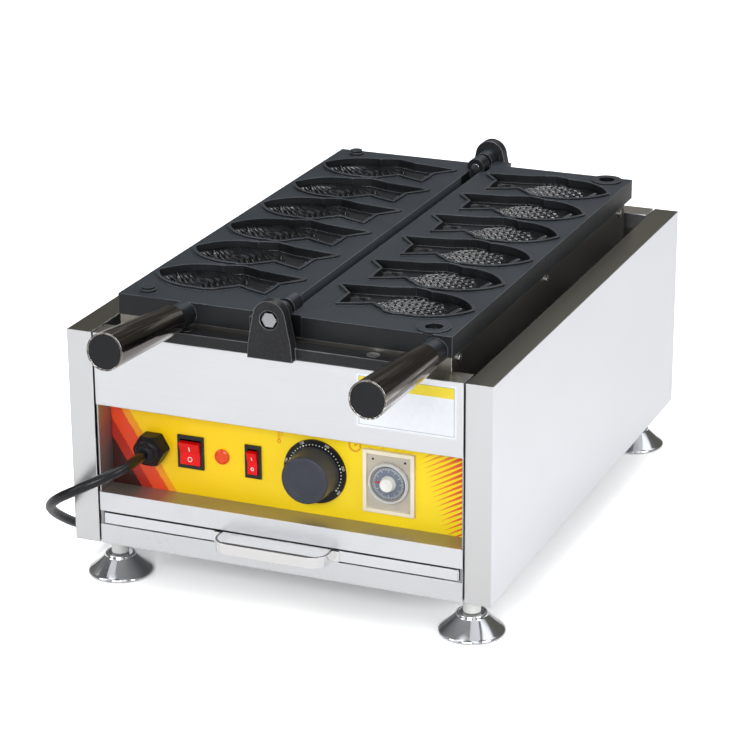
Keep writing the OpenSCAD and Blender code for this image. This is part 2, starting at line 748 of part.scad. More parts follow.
// The right-hand plate; the left one is its mirror image with the knuckles swapped
module plate(front_outer, handle_x, drop, tilt) {
    y_outer = -outer_knuckle;
    y_inner = -inner_knuckle;
    first = front_outer ? y_outer : y_inner;
    last = front_outer ? -y_inner - knuckle_l : -y_outer - knuckle_l;
    other_first = front_outer ? y_inner : y_outer;
    other_last = front_outer ? -y_outer - knuckle_l : -y_inner - knuckle_l;
    difference() {
        union() {
            difference() {
                block([plate_x, -plate_l / 2, z_plate], [plate_edge, plate_l / 2, z_face]);
                block([plate_x - 1, other_first - swing_gap, z_plate - 1],
                    [notch_front, other_first + knuckle_l + swing_gap, z_face + 1]);
                block([plate_x - 1, other_last - swing_gap, z_plate - 1],
                    [notch_rear, other_last + knuckle_l + swing_gap, z_face + 1]);
            }
            knuckle(first);
            knuckle(last);
            for (i = [0:fish_count - 1])
                translate([0, (i - (fish_count - 1) / 2) * fish_pitch, 0]) fish_rim();
            if (front_outer) for (end = [-1, 1]) translate([pin_x, end * pin_y, z_face - 1]) {
                cylinder(d = pin_d, h = 1 + pin_h / 2);
                cylinder(d = pin_d - 3, h = 1 + pin_h);
            } else for (end = [-1, 1]) translate([pin_x, end * pin_y, z_face - 1])
                cylinder(d = socket_d, h = 1 + socket_h);
            handle_axis(handle_x, drop, tilt) translate([0, 0, -3])
                cylinder(r = collar_r, h = collar_l + 3);
        }
        for (y = [first, last]) bar_y(0, y - 1, y + knuckle_l + 1, z_axis, bolt_d / 2 + run_fit);
        for (i = [0:fish_count - 1])
            translate([0, (i - (fish_count - 1) / 2) * fish_pitch, 0]) fish_cavity();
        if (!front_outer) for (end = [-1, 1]) translate([pin_x, end * pin_y, z_face - 3])
            cylinder(d = pin_d + 2 * pin_room, h = 6);
        handle_axis(handle_x, drop, tilt) translate([0, 0, -15])
            cylinder(d = handle_stud_d + 0.1, h = collar_l + 20);
        block([handle_x - collar_r - 1, -plate_l / 2, z_plate - 2 * collar_r],
            [handle_x + collar_r + 1, -plate_l / 2 + 6, z_plate]);
    }
}

module left_plate() {
    color("#303338") placed() mirror([1, 0, 0])
        plate(true, left_handle_x, left_drop, left_tilt);
}

module right_plate() {
    color("#303338") placed() plate(false, right_handle_x, right_drop, right_tilt);
}

// Handle pieces are drawn along +Z from the plate's front face, then laid forwards
handle_stud_d = 8;
module handle_axis(x, drop, tilt) {
    translate([x, -plate_l / 2, z_face - drop]) rotate([90 - tilt, 0, 0]) children();
}

module handle_tube() {
    difference() {
        translate([0, 0, collar_l + fold_gap])
            cylinder(d1 = handle_d1, d2 = handle_d2, h = handle_l - collar_l - fold_gap);
        translate([0, 0, collar_l + fold_gap + 4])
            cylinder(d1 = handle_d1 - 2 * handle_wall, d2 = handle_d2 - 2 * handle_wall,
                h = handle_l - collar_l - fold_gap - 4 + eps);
        translate([0, 0, collar_l - 1]) cylinder(d = handle_stud_d + 0.1, h = 8);
    }
}

module handle_stud() {
    translate([0, 0, -14]) cylinder(d = handle_stud_d, h = collar_l + 32);
    translate([0, 0, collar_l + fold_gap + 4.1]) cylinder(d = 14, h = 6, $fn = 6);
}

module handle_cap() {
    translate([0, 0, handle_l - 6]) cylinder(d = handle_d2 - 2 * handle_wall - 0.8, h = 6);
}

module left_handle_tube() {
    color("silver") placed()
        handle_axis(-left_handle_x, left_drop, left_tilt) handle_tube();
}

module right_handle_tube() {
    color("silver") placed()
        handle_axis(right_handle_x, right_drop, right_tilt) handle_tube();
}

module left_handle_cap() {
    color("#26272a") placed()
        handle_axis(-left_handle_x, left_drop, left_tilt) handle_cap();
}

module right_handle_cap() {
    color("#26272a") placed()
        handle_axis(right_handle_x, right_drop, right_tilt) handle_cap();
}

module left_handle_stud() {
    color("gray") placed()
        handle_axis(-left_handle_x, left_drop, left_tilt) handle_stud();
}

module right_handle_stud() {
    color("gray") placed()
        handle_axis(right_handle_x, right_drop, right_tilt) handle_stud();
}

// A switch case: a frame on the panel and a body behind it, with bores for its rocker
module switch_case(x, w) {
    bezel_t = 2;
    color("#303033") placed() translate([x, y_panel, z_controls]) difference() {
        union() {
            block([-w / 2, -bezel_t, -switch_h / 2], [w / 2, 0, switch_h / 2]);
            block([-w / 2 + 1.5, -eps, -switch_h / 2 + 1.5], [w / 2 - 1.5, 20, switch_h / 2 - 1.5]);
        }
        block([-w / 2 + 2.8, -bezel_t - 1, -rocker_half - 0.7],
            [w / 2 - 2.8, 12, rocker_half + 0.7]);
        bar_x(-w / 2 + 2, w / 2 - 2, rocker_pivot, 0, 1.2 + rocker_fit);
    }
}

// A rocker drawn in its off position, its lower half pressed in
rocker_half = switch_h / 2 - 4.2;
module rocker(x, w) {
    half = w / 2 - 2.8 - 0.25;
    color("red") placed() translate([x, y_panel + rocker_pivot, z_controls])
        rotate([rocker_swing / 2, 0, 0]) {
            translate([-half, 0, 0]) rotate([90, 0, 90]) linear_extrude(2 * half)
                polygon([[-6.6, rocker_half - 0.6], [-4.6, 0], [-6.6, -rocker_half + 0.6],
                    [-1, -rocker_half + 0.9], [3.5, -5], [3.5, 5], [-1, rocker_half - 0.9]]);
            bar_x(-half - 0.7, half + 0.7, 0, 0, 1.2);
        }
}

module power_switch_case() {
    switch_case(power_x, power_w);
}

module power_rocker() {
    rocker(power_x, power_w);
}

module alarm_switch_case() {
    switch_case(alarm_x, alarm_w);
}

module alarm_rocker() {
    rocker(alarm_x, alarm_w);
}

module pilot_lamp() {
    color("orangered") placed() translate([lamp_x, y_panel, z_controls]) rotate([90, 0, 0]) {
        cylinder(d = lamp_d, h = 1.6);
        translate([0, 0, 1.6 - eps]) cylinder(d1 = lamp_d - 1, d2 = lamp_d - 4, h = 0.8);
        translate([0, 0, -22]) cylinder(d = lamp_d - 2.4, h = 22 + eps);
    }
}

// The round scale behind the temperature knob
dial_t = 2;
module temperature_dial() {
    color("#232326") placed() difference() {
        bar_y(dial_x, y_panel - dial_t, y_panel, z_controls, dial_d / 2);
        bar_y(dial_x, y_panel - dial_t - 1, y_panel + 1, z_controls, shaft_d / 2 + 1.5);
    }
}

knob_y = y_panel - dial_t - 0.5;
module temperature_knob() {
    color("#2c2d33") placed() difference() {
        union() {
            translate([dial_x, knob_y, z_controls]) rotate([90, 0, 0]) {
                cylinder(d1 = knob_d + 5, d2 = knob_d + 1, h = knob_h - 2);
                translate([0, 0, knob_h - 2]) cylinder(d1 = knob_d + 1, d2 = knob_d - 2, h = 2);
            }
        }
        bar_y(dial_x, knob_y - knob_h + 7, knob_y + 1, z_controls, shaft_d / 2 + run_fit);
    }
}

module thermostat() {
    color("tan") placed() {
        block([dial_x - thermostat_w / 2, y_panel + sheet + fold_gap, z_controls - thermostat_w / 2],
            [dial_x + thermostat_w / 2, y_panel + sheet + thermostat_deep,
                z_controls + thermostat_w / 2]);
        bar_y(dial_x, knob_y - knob_h + 8, y_panel + sheet + fold_gap + eps, z_controls, shaft_d / 2);
    }
}

// The sensing bulb under the right tray, and its fine tube from the thermostat
probe_tube_r = 1.5;
probe_r = 3.5;
module thermostat_probe() {
    start = y_panel + sheet + thermostat_deep;
    z_bulb = z_tray - probe_r - fold_gap;
    route = [[dial_x, start, z_controls], [dial_x, start + 10, z_controls],
        [dial_x, shield_y - 10, z_controls], [dial_x, shield_y, z_controls],
        [dial_x, shield_y + 12, z_controls + 2], [dial_x + 8, shield_y + 30, z_controls + 22],
        [dial_x + 20, shield_y + 42, z_bulb - 12], [dial_x + 32, shield_y + 58, z_bulb - 1],
        [dial_x + 40, shield_y + 78, z_bulb], [dial_x + 40, shield_y + 90, z_bulb]];
    color("peru") placed() {
        swept_tube(smooth(route, 3), probe_tube_r, 6, [0, 1, 0], [0, 1, 0]);
        bar_y(dial_x + 40, shield_y + 90 - eps, shield_y + 180, z_bulb, probe_r);
    }
}

// The timer: a cream frame on the panel, stepped down to a grey face
timer_frame_t = 3.5;
timer_face_t = 1.5;
module timer_case() {
    color("ivory") placed() translate([timer_x, y_panel, z_controls]) difference() {
        union() {
            block([-timer_w / 2, -timer_frame_t, -timer_h / 2], [timer_w / 2, 0, timer_h / 2]);
            block([-timer_w / 2 + 2, -eps, -timer_h / 2 + 2],
                [timer_w / 2 - 2, timer_deep, timer_h / 2 - 2]);
        }
        block([-timer_w / 2 + 3.5, -timer_frame_t - 1, -timer_h / 2 + 3.5],
            [timer_w / 2 - 3.5, -timer_face_t, timer_h / 2 - 3.5]);
        bar_y(0, -timer_face_t - 1, 8, 0, timer_shaft_d / 2 + run_fit);
    }
}

timer_shaft_d = 5;
window_h = 5;
module timer_window() {
    color("white") placed() translate([timer_x, y_panel - timer_face_t, z_controls])
        rotate([90, 0, 0]) difference() {
            cylinder(d1 = timer_ring_d, d2 = timer_ring_d - 2, h = window_h);
            translate([0, 0, -1]) cylinder(d = timer_ring_d - 5, h = window_h + 2);
        }
}

module timer_knob() {
    color("lightgray") placed() translate([timer_x, y_panel - timer_face_t - 0.5, z_controls])
        rotate([90, 0, 0]) {
            cylinder(d = timer_ring_d - 7, h = 1.5);
            cylinder(d1 = 14, d2 = 12.5, h = 7.5);
            translate([0, 0, -7]) cylinder(d = timer_shaft_d, h = 7 + eps);
        }
}

// Electrical parts fixed to the front of the heat shield
module terminal_block() {
    color("ivory") placed() translate([-30, shield_y - fold_gap, z_controls - 10]) difference() {
        block([-36, -16, -11], [36, 0, 11]);
        for (i = [0:5], row = [-1, 1])
            bar_y(-30 + 12 * i, -17, -8, row * 5, 2.6);
    }
}

module power_relay() {
    color("#3a3a40") placed() translate([-105, shield_y - fold_gap, z_controls]) {
        block([-20, -36, -24], [20, 0, 24]);
        for (i = [-1:1], row = [-1, 1]) bar_y(12 * i, -40, -36 + eps, row * 14, 3);
    }
}

module alarm_buzzer() {
    color("#1f1f22") placed() translate([-30, shield_y - fold_gap, z_controls + 22])
        rotate([90, 0, 0]) difference() {
            cylinder(d = 26, h = 12);
            translate([0, 0, 4]) cylinder(d = 4, h = 9);
        }
}

// The cable gland: hexagon, tapered nose, and a thread through the panel with its nut
gland_thread = 20;
module cable_gland() {
    hex_t = 14;
    nose_t = 5;
    color("#202023") placed() translate([gland_x, y_panel, z_controls]) {
        difference() {
            union() {
                rotate([90, 0, 0]) cylinder(d = gland_w / cos(30), h = hex_t, $fn = 6);
                translate([0, -hex_t + eps, 0]) rotate([90, 0, 0])
                    cylinder(d1 = gland_w - 3, d2 = gland_w - 6, h = nose_t);
                translate([0, -hex_t - nose_t + 2 * eps, 0]) rotate([90, 0, 0])
                    cylinder(d1 = gland_w - 7, d2 = cord_d + 5, h = gland_l - hex_t - nose_t + 2 * eps);
                rotate([-90, 0, 0]) translate([0, 0, -eps])
                    cylinder(d = gland_thread, h = 12);
                translate([0, sheet + 0.1, 0]) rotate([-90, 0, 0])
                    cylinder(d = gland_thread + 7, h = 5, $fn = 6);
            }
            bar_y(0, -gland_l + 6, 13, 0, cord_r + 0.5);
        }
    }
}

module power_cord() {
    color("#1c1c1e") placed()
        swept_tube(smooth(cord_points, 2), cord_r, 8, [0, -1, 0], [0, 1, 0]);
}

// The stowed length: it winds in on the floor, climbs a layer as it turns back, and winds out
wind = (coil_turns - 0.5) / 2;
function coil_reach(t) = coil_r + coil_step / 2 - coil_step
    * (t < wind ? t : t < wind + 0.5 ? wind : coil_turns - t);
function coil_lift(t) = t < wind ? 0 : t < wind + 0.5 ? (t - wind) * 2 : 1;
function coil_at(t) = [coil_x - coil_reach(t) * cos(360 * t), coil_y + coil_reach(t) * sin(360 * t),
    cord_z + coil_lift(t) * (cord_d + 1.6)];
coil_steps = round(24 * coil_turns);
coil_end = coil_at(coil_turns);
plug_z = plug_d / 2;
plug_x = coil_end[0] + 4 * cord_d;
coil_points = concat([coil_at(0) - [0, cord_d, 0]],
    [for (i = [0:coil_steps]) coil_at(i * coil_turns / coil_steps)],
    [[coil_end[0] + cord_d * 1.2, coil_end[1], coil_end[2] + 0.6],
    [coil_end[0] + cord_d * 2, coil_end[1], plug_z - 1],
    [plug_x - cord_d, coil_end[1], plug_z], [plug_x, coil_end[1], plug_z]]);

module cord_coil() {
    color("#1c1c1e") placed() swept_tube(coil_points, cord_r, 6, [0, 1, 0], [1, 0, 0]);
}

// A round two-pin plug, lying on its side beside the coil
module power_plug() {
    color("#202023") placed() translate([plug_x, coil_end[1], plug_z]) rotate([0, 90, 0]) {
        cylinder(d1 = cord_d + 5, d2 = cord_d + 9, h = 16);
        translate([0, 0, 16 - eps]) cylinder(d1 = plug_d - 8, d2 = plug_d, h = 6);
        translate([0, 0, 22 - 2 * eps]) cylinder(d = plug_d, h = 22);
        for (side = [-1, 1]) translate([0, side * 9.5, 44 - 3 * eps]) {
            cylinder(d = 4.8, h = 17.5);
            translate([0, 0, 17.5]) cylinder(d1 = 4.8, d2 = 3, h = 1.5);
        }
    }
}

// A metal bell with a ring and a stud that screws up into its sleeve
bell_lip = 4;
ring_h = 6;
function bell_outline() = [[0, 0], [foot_d / 2 - 1, 0], [foot_d / 2, 1.2], [foot_d / 2, bell_lip - 1],
    [foot_d / 2 - 1.5, bell_lip + 1], [foot_ring_d / 2 + 1, bell_h - ring_h / 2],
    [foot_ring_d / 2 - 0.5, bell_h - 1], [foot_ring_d / 2 - 2, bell_h], [0, bell_h]];

module foot(side, end) {
    color("lightgray") placed()
        translate(foot_place(side, end)) {
            rotate_extrude() polygon(bell_outline());
            translate([0, 0, bell_h - eps]) cylinder(d = stud_d, h = foot_h - bell_h - 0.5);
        }
}

module front_left_foot() {
    foot(-1, -1);
}

module front_right_foot() {
    foot(1, -1);
}

module rear_left_foot() {
    foot(-1, 1);
}

module rear_right_foot() {
    foot(1, 1);
}

module foot_sleeves() {
    color("white") placed() for (side = [-1, 1], end = [-1, 1])
        translate(foot_place(side, end)) difference() {
            translate([0, 0, bell_h + fold_gap])
                cylinder(d = sleeve_d, h = foot_h - bell_h - fold_gap + sheet);
            translate([0, 0, bell_h]) cylinder(d = stud_d + 2 * run_fit, h = foot_h - bell_h);
        }
}

module rear_cover_screws() {
    color("silver") placed() for (x = [-1, 0, 1]) {
        bar_y(x * (front_half - 14), wall_back - 4, half_d, rear_screw_z, rear_screw_d / 2);
        bar_y(x * (front_half - 14), half_d, half_d + 2, rear_screw_z, rear_screw_d / 2 + 1.8);
    }
}

cord_run = route_length(smooth(cord_points, 2));
coil_run = route_length(coil_points);
echo(cord_length = cord_run[len(cord_run) - 1] + coil_run[len(coil_run) - 1], shift = y_shift);
// Least gap between rings of the coil that are over a quarter turn apart along it
echo(coil_gap = min([for (i = [0:coil_steps], j = [i + 8:1:len(coil_points) - 1])
    norm(coil_points[i] - coil_points[j])]) - cord_d);

chassis();
left_side_cover();
right_side_cover();
front_cover();
control_panel();
ledge_rail();
bottom_rail();
rear_cover();
rear_top_rail();
cross_rails();
heat_shield();
drawer_runners();
crumb_drawer();
drawer_pull();
left_heater_tray();
right_heater_tray();
left_heating_element();
right_heating_element();
front_hinge_bar();
rear_hinge_bar();
front_hinge_bolt();
rear_hinge_bolt();
left_plate();
right_plate();
left_handle_tube();
right_handle_tube();
left_handle_cap();
right_handle_cap();
left_handle_stud();
right_handle_stud();
power_switch_case();
power_rocker();
alarm_switch_case();
alarm_rocker();
pilot_lamp();
temperature_dial();
temperature_knob();
thermostat();
thermostat_probe();
timer_case();
timer_window();
timer_knob();
terminal_block();
power_relay();
alarm_buzzer();
cable_gland();
power_cord();
cord_coil();
power_plug();
front_left_foot();
front_right_foot();
rear_left_foot();
rear_right_foot();
foot_sleeves();
hinge_bar_screws();
tray_screws();
rear_cover_screws();
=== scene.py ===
# Fish-waffle maker with two hinged cast plates: its looks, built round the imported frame.
# Metres, +Z up, front towards -Y. shiftY is where the casing's middle lies in the frame.
import math

import bmesh
import bpy
import numpy as np
from mathutils import Matrix, Vector


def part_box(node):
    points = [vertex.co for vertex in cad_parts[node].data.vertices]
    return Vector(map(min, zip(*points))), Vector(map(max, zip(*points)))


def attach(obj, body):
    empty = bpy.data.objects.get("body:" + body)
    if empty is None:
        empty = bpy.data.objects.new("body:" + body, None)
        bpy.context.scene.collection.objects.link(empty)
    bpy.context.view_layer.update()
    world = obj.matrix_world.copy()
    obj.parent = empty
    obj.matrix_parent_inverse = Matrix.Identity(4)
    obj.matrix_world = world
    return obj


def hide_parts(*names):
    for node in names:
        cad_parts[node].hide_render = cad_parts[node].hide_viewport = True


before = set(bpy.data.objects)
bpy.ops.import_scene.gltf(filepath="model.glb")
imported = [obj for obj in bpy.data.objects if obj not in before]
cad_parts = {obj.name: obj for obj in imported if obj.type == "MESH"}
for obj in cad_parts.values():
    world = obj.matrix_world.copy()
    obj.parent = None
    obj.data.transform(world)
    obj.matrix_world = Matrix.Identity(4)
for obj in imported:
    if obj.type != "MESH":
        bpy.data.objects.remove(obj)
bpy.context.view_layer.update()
coverLow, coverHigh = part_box("left_side_cover")
shiftY = (coverLow.y + coverHigh.y) / 2
print("frame: %d nodes" % len(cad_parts))

# Camera, turned to the photograph's view
cameraSet = {
    "azimuth": 22.522,
    "elevation": 20.371,
    "roll": -0.00557,
    "distance": 2.6197,
    "lookAt": (-0.01745, 0.0, 0.13461),   # from the casing's middle on the floor
    "lens": 131.394,
}


def putInScene(name, data):
    obj = bpy.data.objects.new(name, data)
    bpy.context.scene.collection.objects.link(obj)
    return obj


def placeCamera(s):
    turn, rise = math.radians(s["azimuth"]), math.radians(s["elevation"])
    back = Vector((math.sin(turn) * math.cos(rise), -math.cos(turn) * math.cos(rise), math.sin(rise)))
    right = Vector((math.cos(turn), math.sin(turn), 0))
    up = back.cross(right)
    leanRight = right * math.cos(s["roll"]) + up * math.sin(s["roll"])
    leanUp = up * math.cos(s["roll"]) - right * math.sin(s["roll"])
    data = bpy.data.cameras.new("photoCamera")
    data.lens = s["lens"]
    data.sensor_width = 36
    data.clip_start, data.clip_end = 0.05, 60
    cam = putInScene("photoCamera", data)
    spot = Vector(s["lookAt"]) + Vector((0, shiftY, 0)) + back * s["distance"]
    axes = Matrix((leanRight, leanUp, back)).transposed().to_4x4()
    cam.matrix_world = Matrix.Translation(spot) @ axes
    bpy.context.scene.camera = cam


placeCamera(cameraSet)
print("camera placed")


# Mesh makers. Every shape is worked out as whole arrays of points and faces.
def makeObject(name, points, faces, smooth=True, outward=True):
    # A mesh object from points (n, 3) and lists of faces; closed shells get their faces turned outwards
    mesh = bpy.data.meshes.new(name)
    mesh.from_pydata(np.asarray(points, float).tolist(), [], faces)
    mesh.update()
    if outward:
        work = bmesh.new()
        work.from_mesh(mesh)
        bmesh.ops.recalc_face_normals(work, faces=work.faces)
        work.to_mesh(mesh)
        work.free()
    mesh.polygons.foreach_set("use_smooth", np.full(len(mesh.polygons), smooth))
    return putInScene(name, mesh)


def gridFaces(rows, columns, wrap=False):
    # Quads between neighbouring rows and columns of a grid; wrap joins the last column to the first
    r = np.arange(rows - 1)[:, None]
    c = np.arange(columns if wrap else columns - 1)[None, :]
    nextC = (c + 1) % columns
    quads = np.stack([r * columns + c, r * columns + nextC, (r + 1) * columns + nextC, (r + 1) * columns + c], -1)
    return quads.reshape(-1, 4)


def endCaps(rings, sides):
    # One face over the first of the rings of points, and one over the last
    last = (rings - 1) * sides
    return [list(range(sides))[::-1], list(range(last, last + sides))]


def joinParts(parts):
    # Several (points, faces) pairs put into one, with their face numbers moved on
    points, faces, count = [], [], 0
    for partPoints, partFaces in parts:
        points.append(np.asarray(partPoints, float).reshape(-1, 3))
        faces += [[i + count for i in face] for face in partFaces]
        count += len(points[-1])
    return np.concatenate(points), faces


def unitRows(v):
    return v / np.maximum(np.linalg.norm(v, axis=-1, keepdims=True), 1e-12)


def smoothPath(points, steps):
    # A curve through the points: at step t of a span it is half of 2b + (c-a)t + (2a-5b+4c-d)t2 + (3b-a-3c+d)t3
    p = np.asarray(points, float)
    a = p[np.maximum(np.arange(len(p) - 1) - 1, 0)][:, None]
    b, c = p[:-1][:, None], p[1:][:, None]
    d = p[np.minimum(np.arange(len(p) - 1) + 2, len(p) - 1)][:, None]
    t = (np.arange(steps) / steps)[None, :, None]
    curve = 0.5 * (2 * b + (c - a) * t + (2 * a - 5 * b + 4 * c - d) * t ** 2 + (3 * b - a - 3 * c + d) * t ** 3)
    return np.concatenate([curve.reshape(-1, p.shape[1]), p[-1:]])


def sweptTube(path, radius, sides):
    # A circle of the given radius carried along the path, level at its sides, with a flat face at each end
    path = np.asarray(path, float)
    way = unitRows(np.gradient(path, axis=0))
    side = unitRows(np.cross(way, [0.0, 0.0, 1.0]))
    up = np.cross(side, way)
    angle = np.linspace(0, 2 * np.pi, sides, endpoint=False)
    r = np.broadcast_to(np.asarray(radius, float), (len(path),))[:, None, None]
    ring = np.cos(angle)[None, :, None] * side[:, None] + np.sin(angle)[None, :, None] * up[:, None]
    points = (path[:, None] + r * ring).reshape(-1, 3)
    faces = gridFaces(len(path), sides, True).tolist()
    return points, faces + endCaps(len(path), sides)


def turnedShape(profile, centre, axis, sides=64, flats=0.0):
    # A profile of (radius, height) pairs turned once round the axis from the centre; both ends lie on the
    # axis. Where flats is given, six flat sides that far apart cut it: half of flats over the cosine of
    # the angle from the nearest side's middle, with two corners level
    profile = np.asarray(profile, float)
    axis = unitRows(np.asarray(axis, float))
    across = unitRows(np.cross(axis, [0.31, 0.17, 0.93]) if not flats else np.array([1.0, 0.0, 0.0]))
    other = np.cross(axis, across)
    angle = np.linspace(0, 2 * np.pi, sides, endpoint=False)
    inner = profile[1:-1]
    radius = np.repeat(inner[:, :1], sides, axis=1)
    if flats:
        radius = np.minimum(radius, flats / 2 / np.cos(np.mod(angle, np.pi / 3) - np.pi / 6))
    spoke = np.cos(angle)[:, None] * across + np.sin(angle)[:, None] * other
    rings = radius[..., None] * spoke[None] + inner[:, 1][:, None, None] * axis
    ends = profile[[0, -1], 1][:, None] * axis
    points = np.concatenate([rings.reshape(-1, 3), ends]) + np.asarray(centre, float)
    faces = gridFaces(len(inner), sides, True).tolist()
    k = np.arange(sides)
    base, low, high = (len(inner) - 1) * sides, len(inner) * sides, len(inner) * sides + 1
    faces += np.stack([np.full(sides, low), (k + 1) % sides, k], -1).tolist()
    faces += np.stack([np.full(sides, high), base + k, base + (k + 1) % sides], -1).tolist()
    return points, faces


def turnedRing(profile, centre, axis, sides=64):
    # A closed profile of (radius, height) pairs that stays off the axis, turned once round it
    points = turnedShape(np.concatenate([profile[:1], profile, profile[:1]]), centre, axis, sides)[0]
    grid = points[:-2].reshape(len(profile), sides, 3)
    closed = np.concatenate([grid, grid[:1]])
    faces = gridFaces(len(profile) + 1, sides, True) % (len(profile) * sides)
    return closed[:-1].reshape(-1, 3), faces.tolist()


def creased(obj, degrees=40):
    # Faces that meet at more than this angle stay crisp; the rest are shaded round
    mesh = obj.data
    work = bmesh.new()
    work.from_mesh(mesh)
    for edge in work.edges:
        edge.smooth = edge.calc_face_angle(0.0) < math.radians(degrees)
    work.to_mesh(mesh)
    work.free()
    return obj


def roundCorner(centre, radius, start, end, steps=6):
    # Points of an arc between two angles in degrees, as (radius, height) pairs of a profile
    a = np.radians(np.linspace(start, end, steps))
    return np.stack([centre[0] + radius * np.cos(a), centre[1] + radius * np.sin(a)], -1)


def flatPrint(outline, origin, right, up, lift):
    # A thin closed plate: the outline, in steps along right and up, raised by lift over its surface
    outline = np.asarray(outline, float)
    right, up = np.asarray(right, float), np.asarray(up, float)
    out = np.cross(right, up)
    base = np.asarray(origin, float) + outline[:, :1] * right + outline[:, 1:] * up
    points = np.concatenate([base, base + out * lift])
    n = len(outline)
    k = np.arange(n)
    walls = np.stack([k, (k + 1) % n, n + (k + 1) % n, n + k], -1).tolist()
    return points, walls + endCaps(2, n)


def flatRing(radius, width, origin, right, up, lift, start=0, end=360, sides=40):
    # A thin closed plate shaped as a ring, or as the part of a ring between two angles in degrees
    whole = abs(end - start) >= 360
    a = np.radians(np.linspace(start, end, sides, endpoint=not whole))
    right, up = np.asarray(right, float), np.asarray(up, float)
    out = np.cross(right, up)
    spoke = np.cos(a)[:, None] * right + np.sin(a)[:, None] * up
    corner = np.array([[radius - width, 0], [radius, 0], [radius, lift], [radius - width, lift]])
    points = np.asarray(origin, float) + corner[None, :, :1] * spoke[:, None] + corner[None, :, 1:] * out
    faces = gridFaces(sides, 4, True).tolist()
    last = (sides - 1) * 4
    if whole:
        faces += [[last + i, last + (i + 1) % 4, (i + 1) % 4, i] for i in range(4)]
    else:
        faces += [[3, 2, 1, 0], [last, last + 1, last + 2, last + 3]]
    return points.reshape(-1, 3), faces


def circleOutline(radius, centre=(0.0, 0.0), sides=20):
    a = np.linspace(0, 2 * np.pi, sides, endpoint=False)
    return np.stack([centre[0] + radius * np.cos(a), centre[1] + radius * np.sin(a)], -1)


def boxOutline(x0, y0, x1, y1, corner=0.0, steps=5):
    # A rectangle with round corners
    if corner <= 0:
        return np.array([[x0, y0], [x1, y0], [x1, y1], [x0, y1]])
    a = np.radians(np.linspace(0, 90, steps))
    quarter = corner * np.stack([np.cos(a), np.sin(a)], -1)
    flip = np.array([[1, 1], [-1, 1], [-1, -1], [1, -1]])
    middles = np.array([[x1 - corner, y1 - corner], [x0 + corner, y1 - corner],
                        [x0 + corner, y0 + corner], [x1 - corner, y0 + corner]])
    return np.concatenate([middles[0] + quarter, middles[1] + quarter[::-1] * flip[1],
                           middles[2] + quarter * flip[2], middles[3] + quarter[::-1] * flip[3]])


# Mains cord: the free length from the gland round to the floor, and the stowed coil behind
cordSet = {
    "diameter": 0.009,
    "exit": (-0.130, -0.268, 0.1355),
    "coilMiddle": (-0.133, 0.364),
    "coilRadius": 0.0504,
    "coilStep": 0.0107,
    "coilTurns": 3.25,
    "climb": 0.0106,
    "plugRise": 0.018,
    "sides": 16,
}
cordPoints = [
    (-0.130, -0.268, 0.1355), (-0.130, -0.282, 0.1355), (-0.134, -0.302, 0.134), (-0.148, -0.318, 0.128),
    (-0.167, -0.325, 0.1185), (-0.187, -0.3215, 0.1065), (-0.202, -0.309, 0.093), (-0.2105, -0.290, 0.0785),
    (-0.215, -0.267, 0.063), (-0.217, -0.242, 0.0475), (-0.217, -0.214, 0.0325), (-0.217, -0.186, 0.0195),
    (-0.217, -0.158, 0.0095),
]
cordPoints += [(-0.217, y, 0.0045) for y in (-0.128, -0.100, -0.070, -0.020, 0.040, 0.100, 0.160, 0.215, 0.240)]
cordPoints += [(-0.214, 0.264, 0.0045), (-0.206, 0.288, 0.0045), (-0.196, 0.311, 0.0045), (-0.190, 0.334, 0.0045),
               (-0.18875, 0.355, 0.0045)]


def coilPath(s):
    # The coil winds in on the floor, climbs one layer over half a turn, and winds out again on top
    wind = (s["coilTurns"] - 0.5) / 2
    t = np.linspace(0, s["coilTurns"], round(40 * s["coilTurns"]) + 1)
    inward = np.where(t < wind, t, np.where(t < wind + 0.5, wind, s["coilTurns"] - t))
    reach = s["coilRadius"] + s["coilStep"] / 2 - s["coilStep"] * inward
    lift = np.clip((t - wind) * 2, 0, 1)
    low = s["diameter"] / 2
    turns = np.stack([s["coilMiddle"][0] - reach * np.cos(2 * np.pi * t),
                      s["coilMiddle"][1] + reach * np.sin(2 * np.pi * t), low + lift * s["climb"]], -1)
    x, y, z = turns[-1]
    d = s["diameter"]
    tail = [(x + 1.2 * d, y, z + 0.0006), (x + 2 * d, y, s["plugRise"] - 0.001),
            (x + 3 * d, y, s["plugRise"]), (x + 4 * d, y, s["plugRise"])]
    return np.concatenate([turns, tail])


freePath = smoothPath(cordPoints, 6)
cordPath = np.concatenate([freePath, coilPath(cordSet)]) + [0, shiftY, 0]
mainsCord = makeObject("mainsCord", *sweptTube(cordPath, cordSet["diameter"] / 2, cordSet["sides"]))
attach(mainsCord, "casing")
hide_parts("power_cord", "cord_coil")


# Shader nodes. Patterns read Object coordinates, in metres.
def tint(code):
    # A colour written as six hex digits, turned from screen values to light values
    c = np.array([int(code[i:i + 2], 16) / 255 for i in (0, 2, 4)])
    return tuple(np.where(c <= 0.04045, c / 12.92, ((c + 0.055) / 1.055) ** 2.4).tolist()) + (1.0,)


def feed(tree, socket, value):
    if isinstance(value, bpy.types.NodeSocket):
        tree.links.new(value, socket)
    elif value is not None:
        socket.default_value = value


def feedNamed(tree, node, values):
    for key, value in values.items():
        feed(tree, node.inputs[key.replace("_", " ")], value)
    return node


def putNode(tree, kind, *inOrder, **named):
    # A new shader node, with its inputs fed in their order or by name
    node = tree.nodes.new("ShaderNode" + kind)
    for socket, value in zip(node.inputs, inOrder):
        feed(tree, socket, value)
    return feedNamed(tree, node, named)


def startMaterial(name, **sockets):
    mat = bpy.data.materials.new(name)
    mat.use_nodes = True
    feedNamed(mat.node_tree, mat.node_tree.nodes["Principled BSDF"], sockets)
    return mat, mat.node_tree


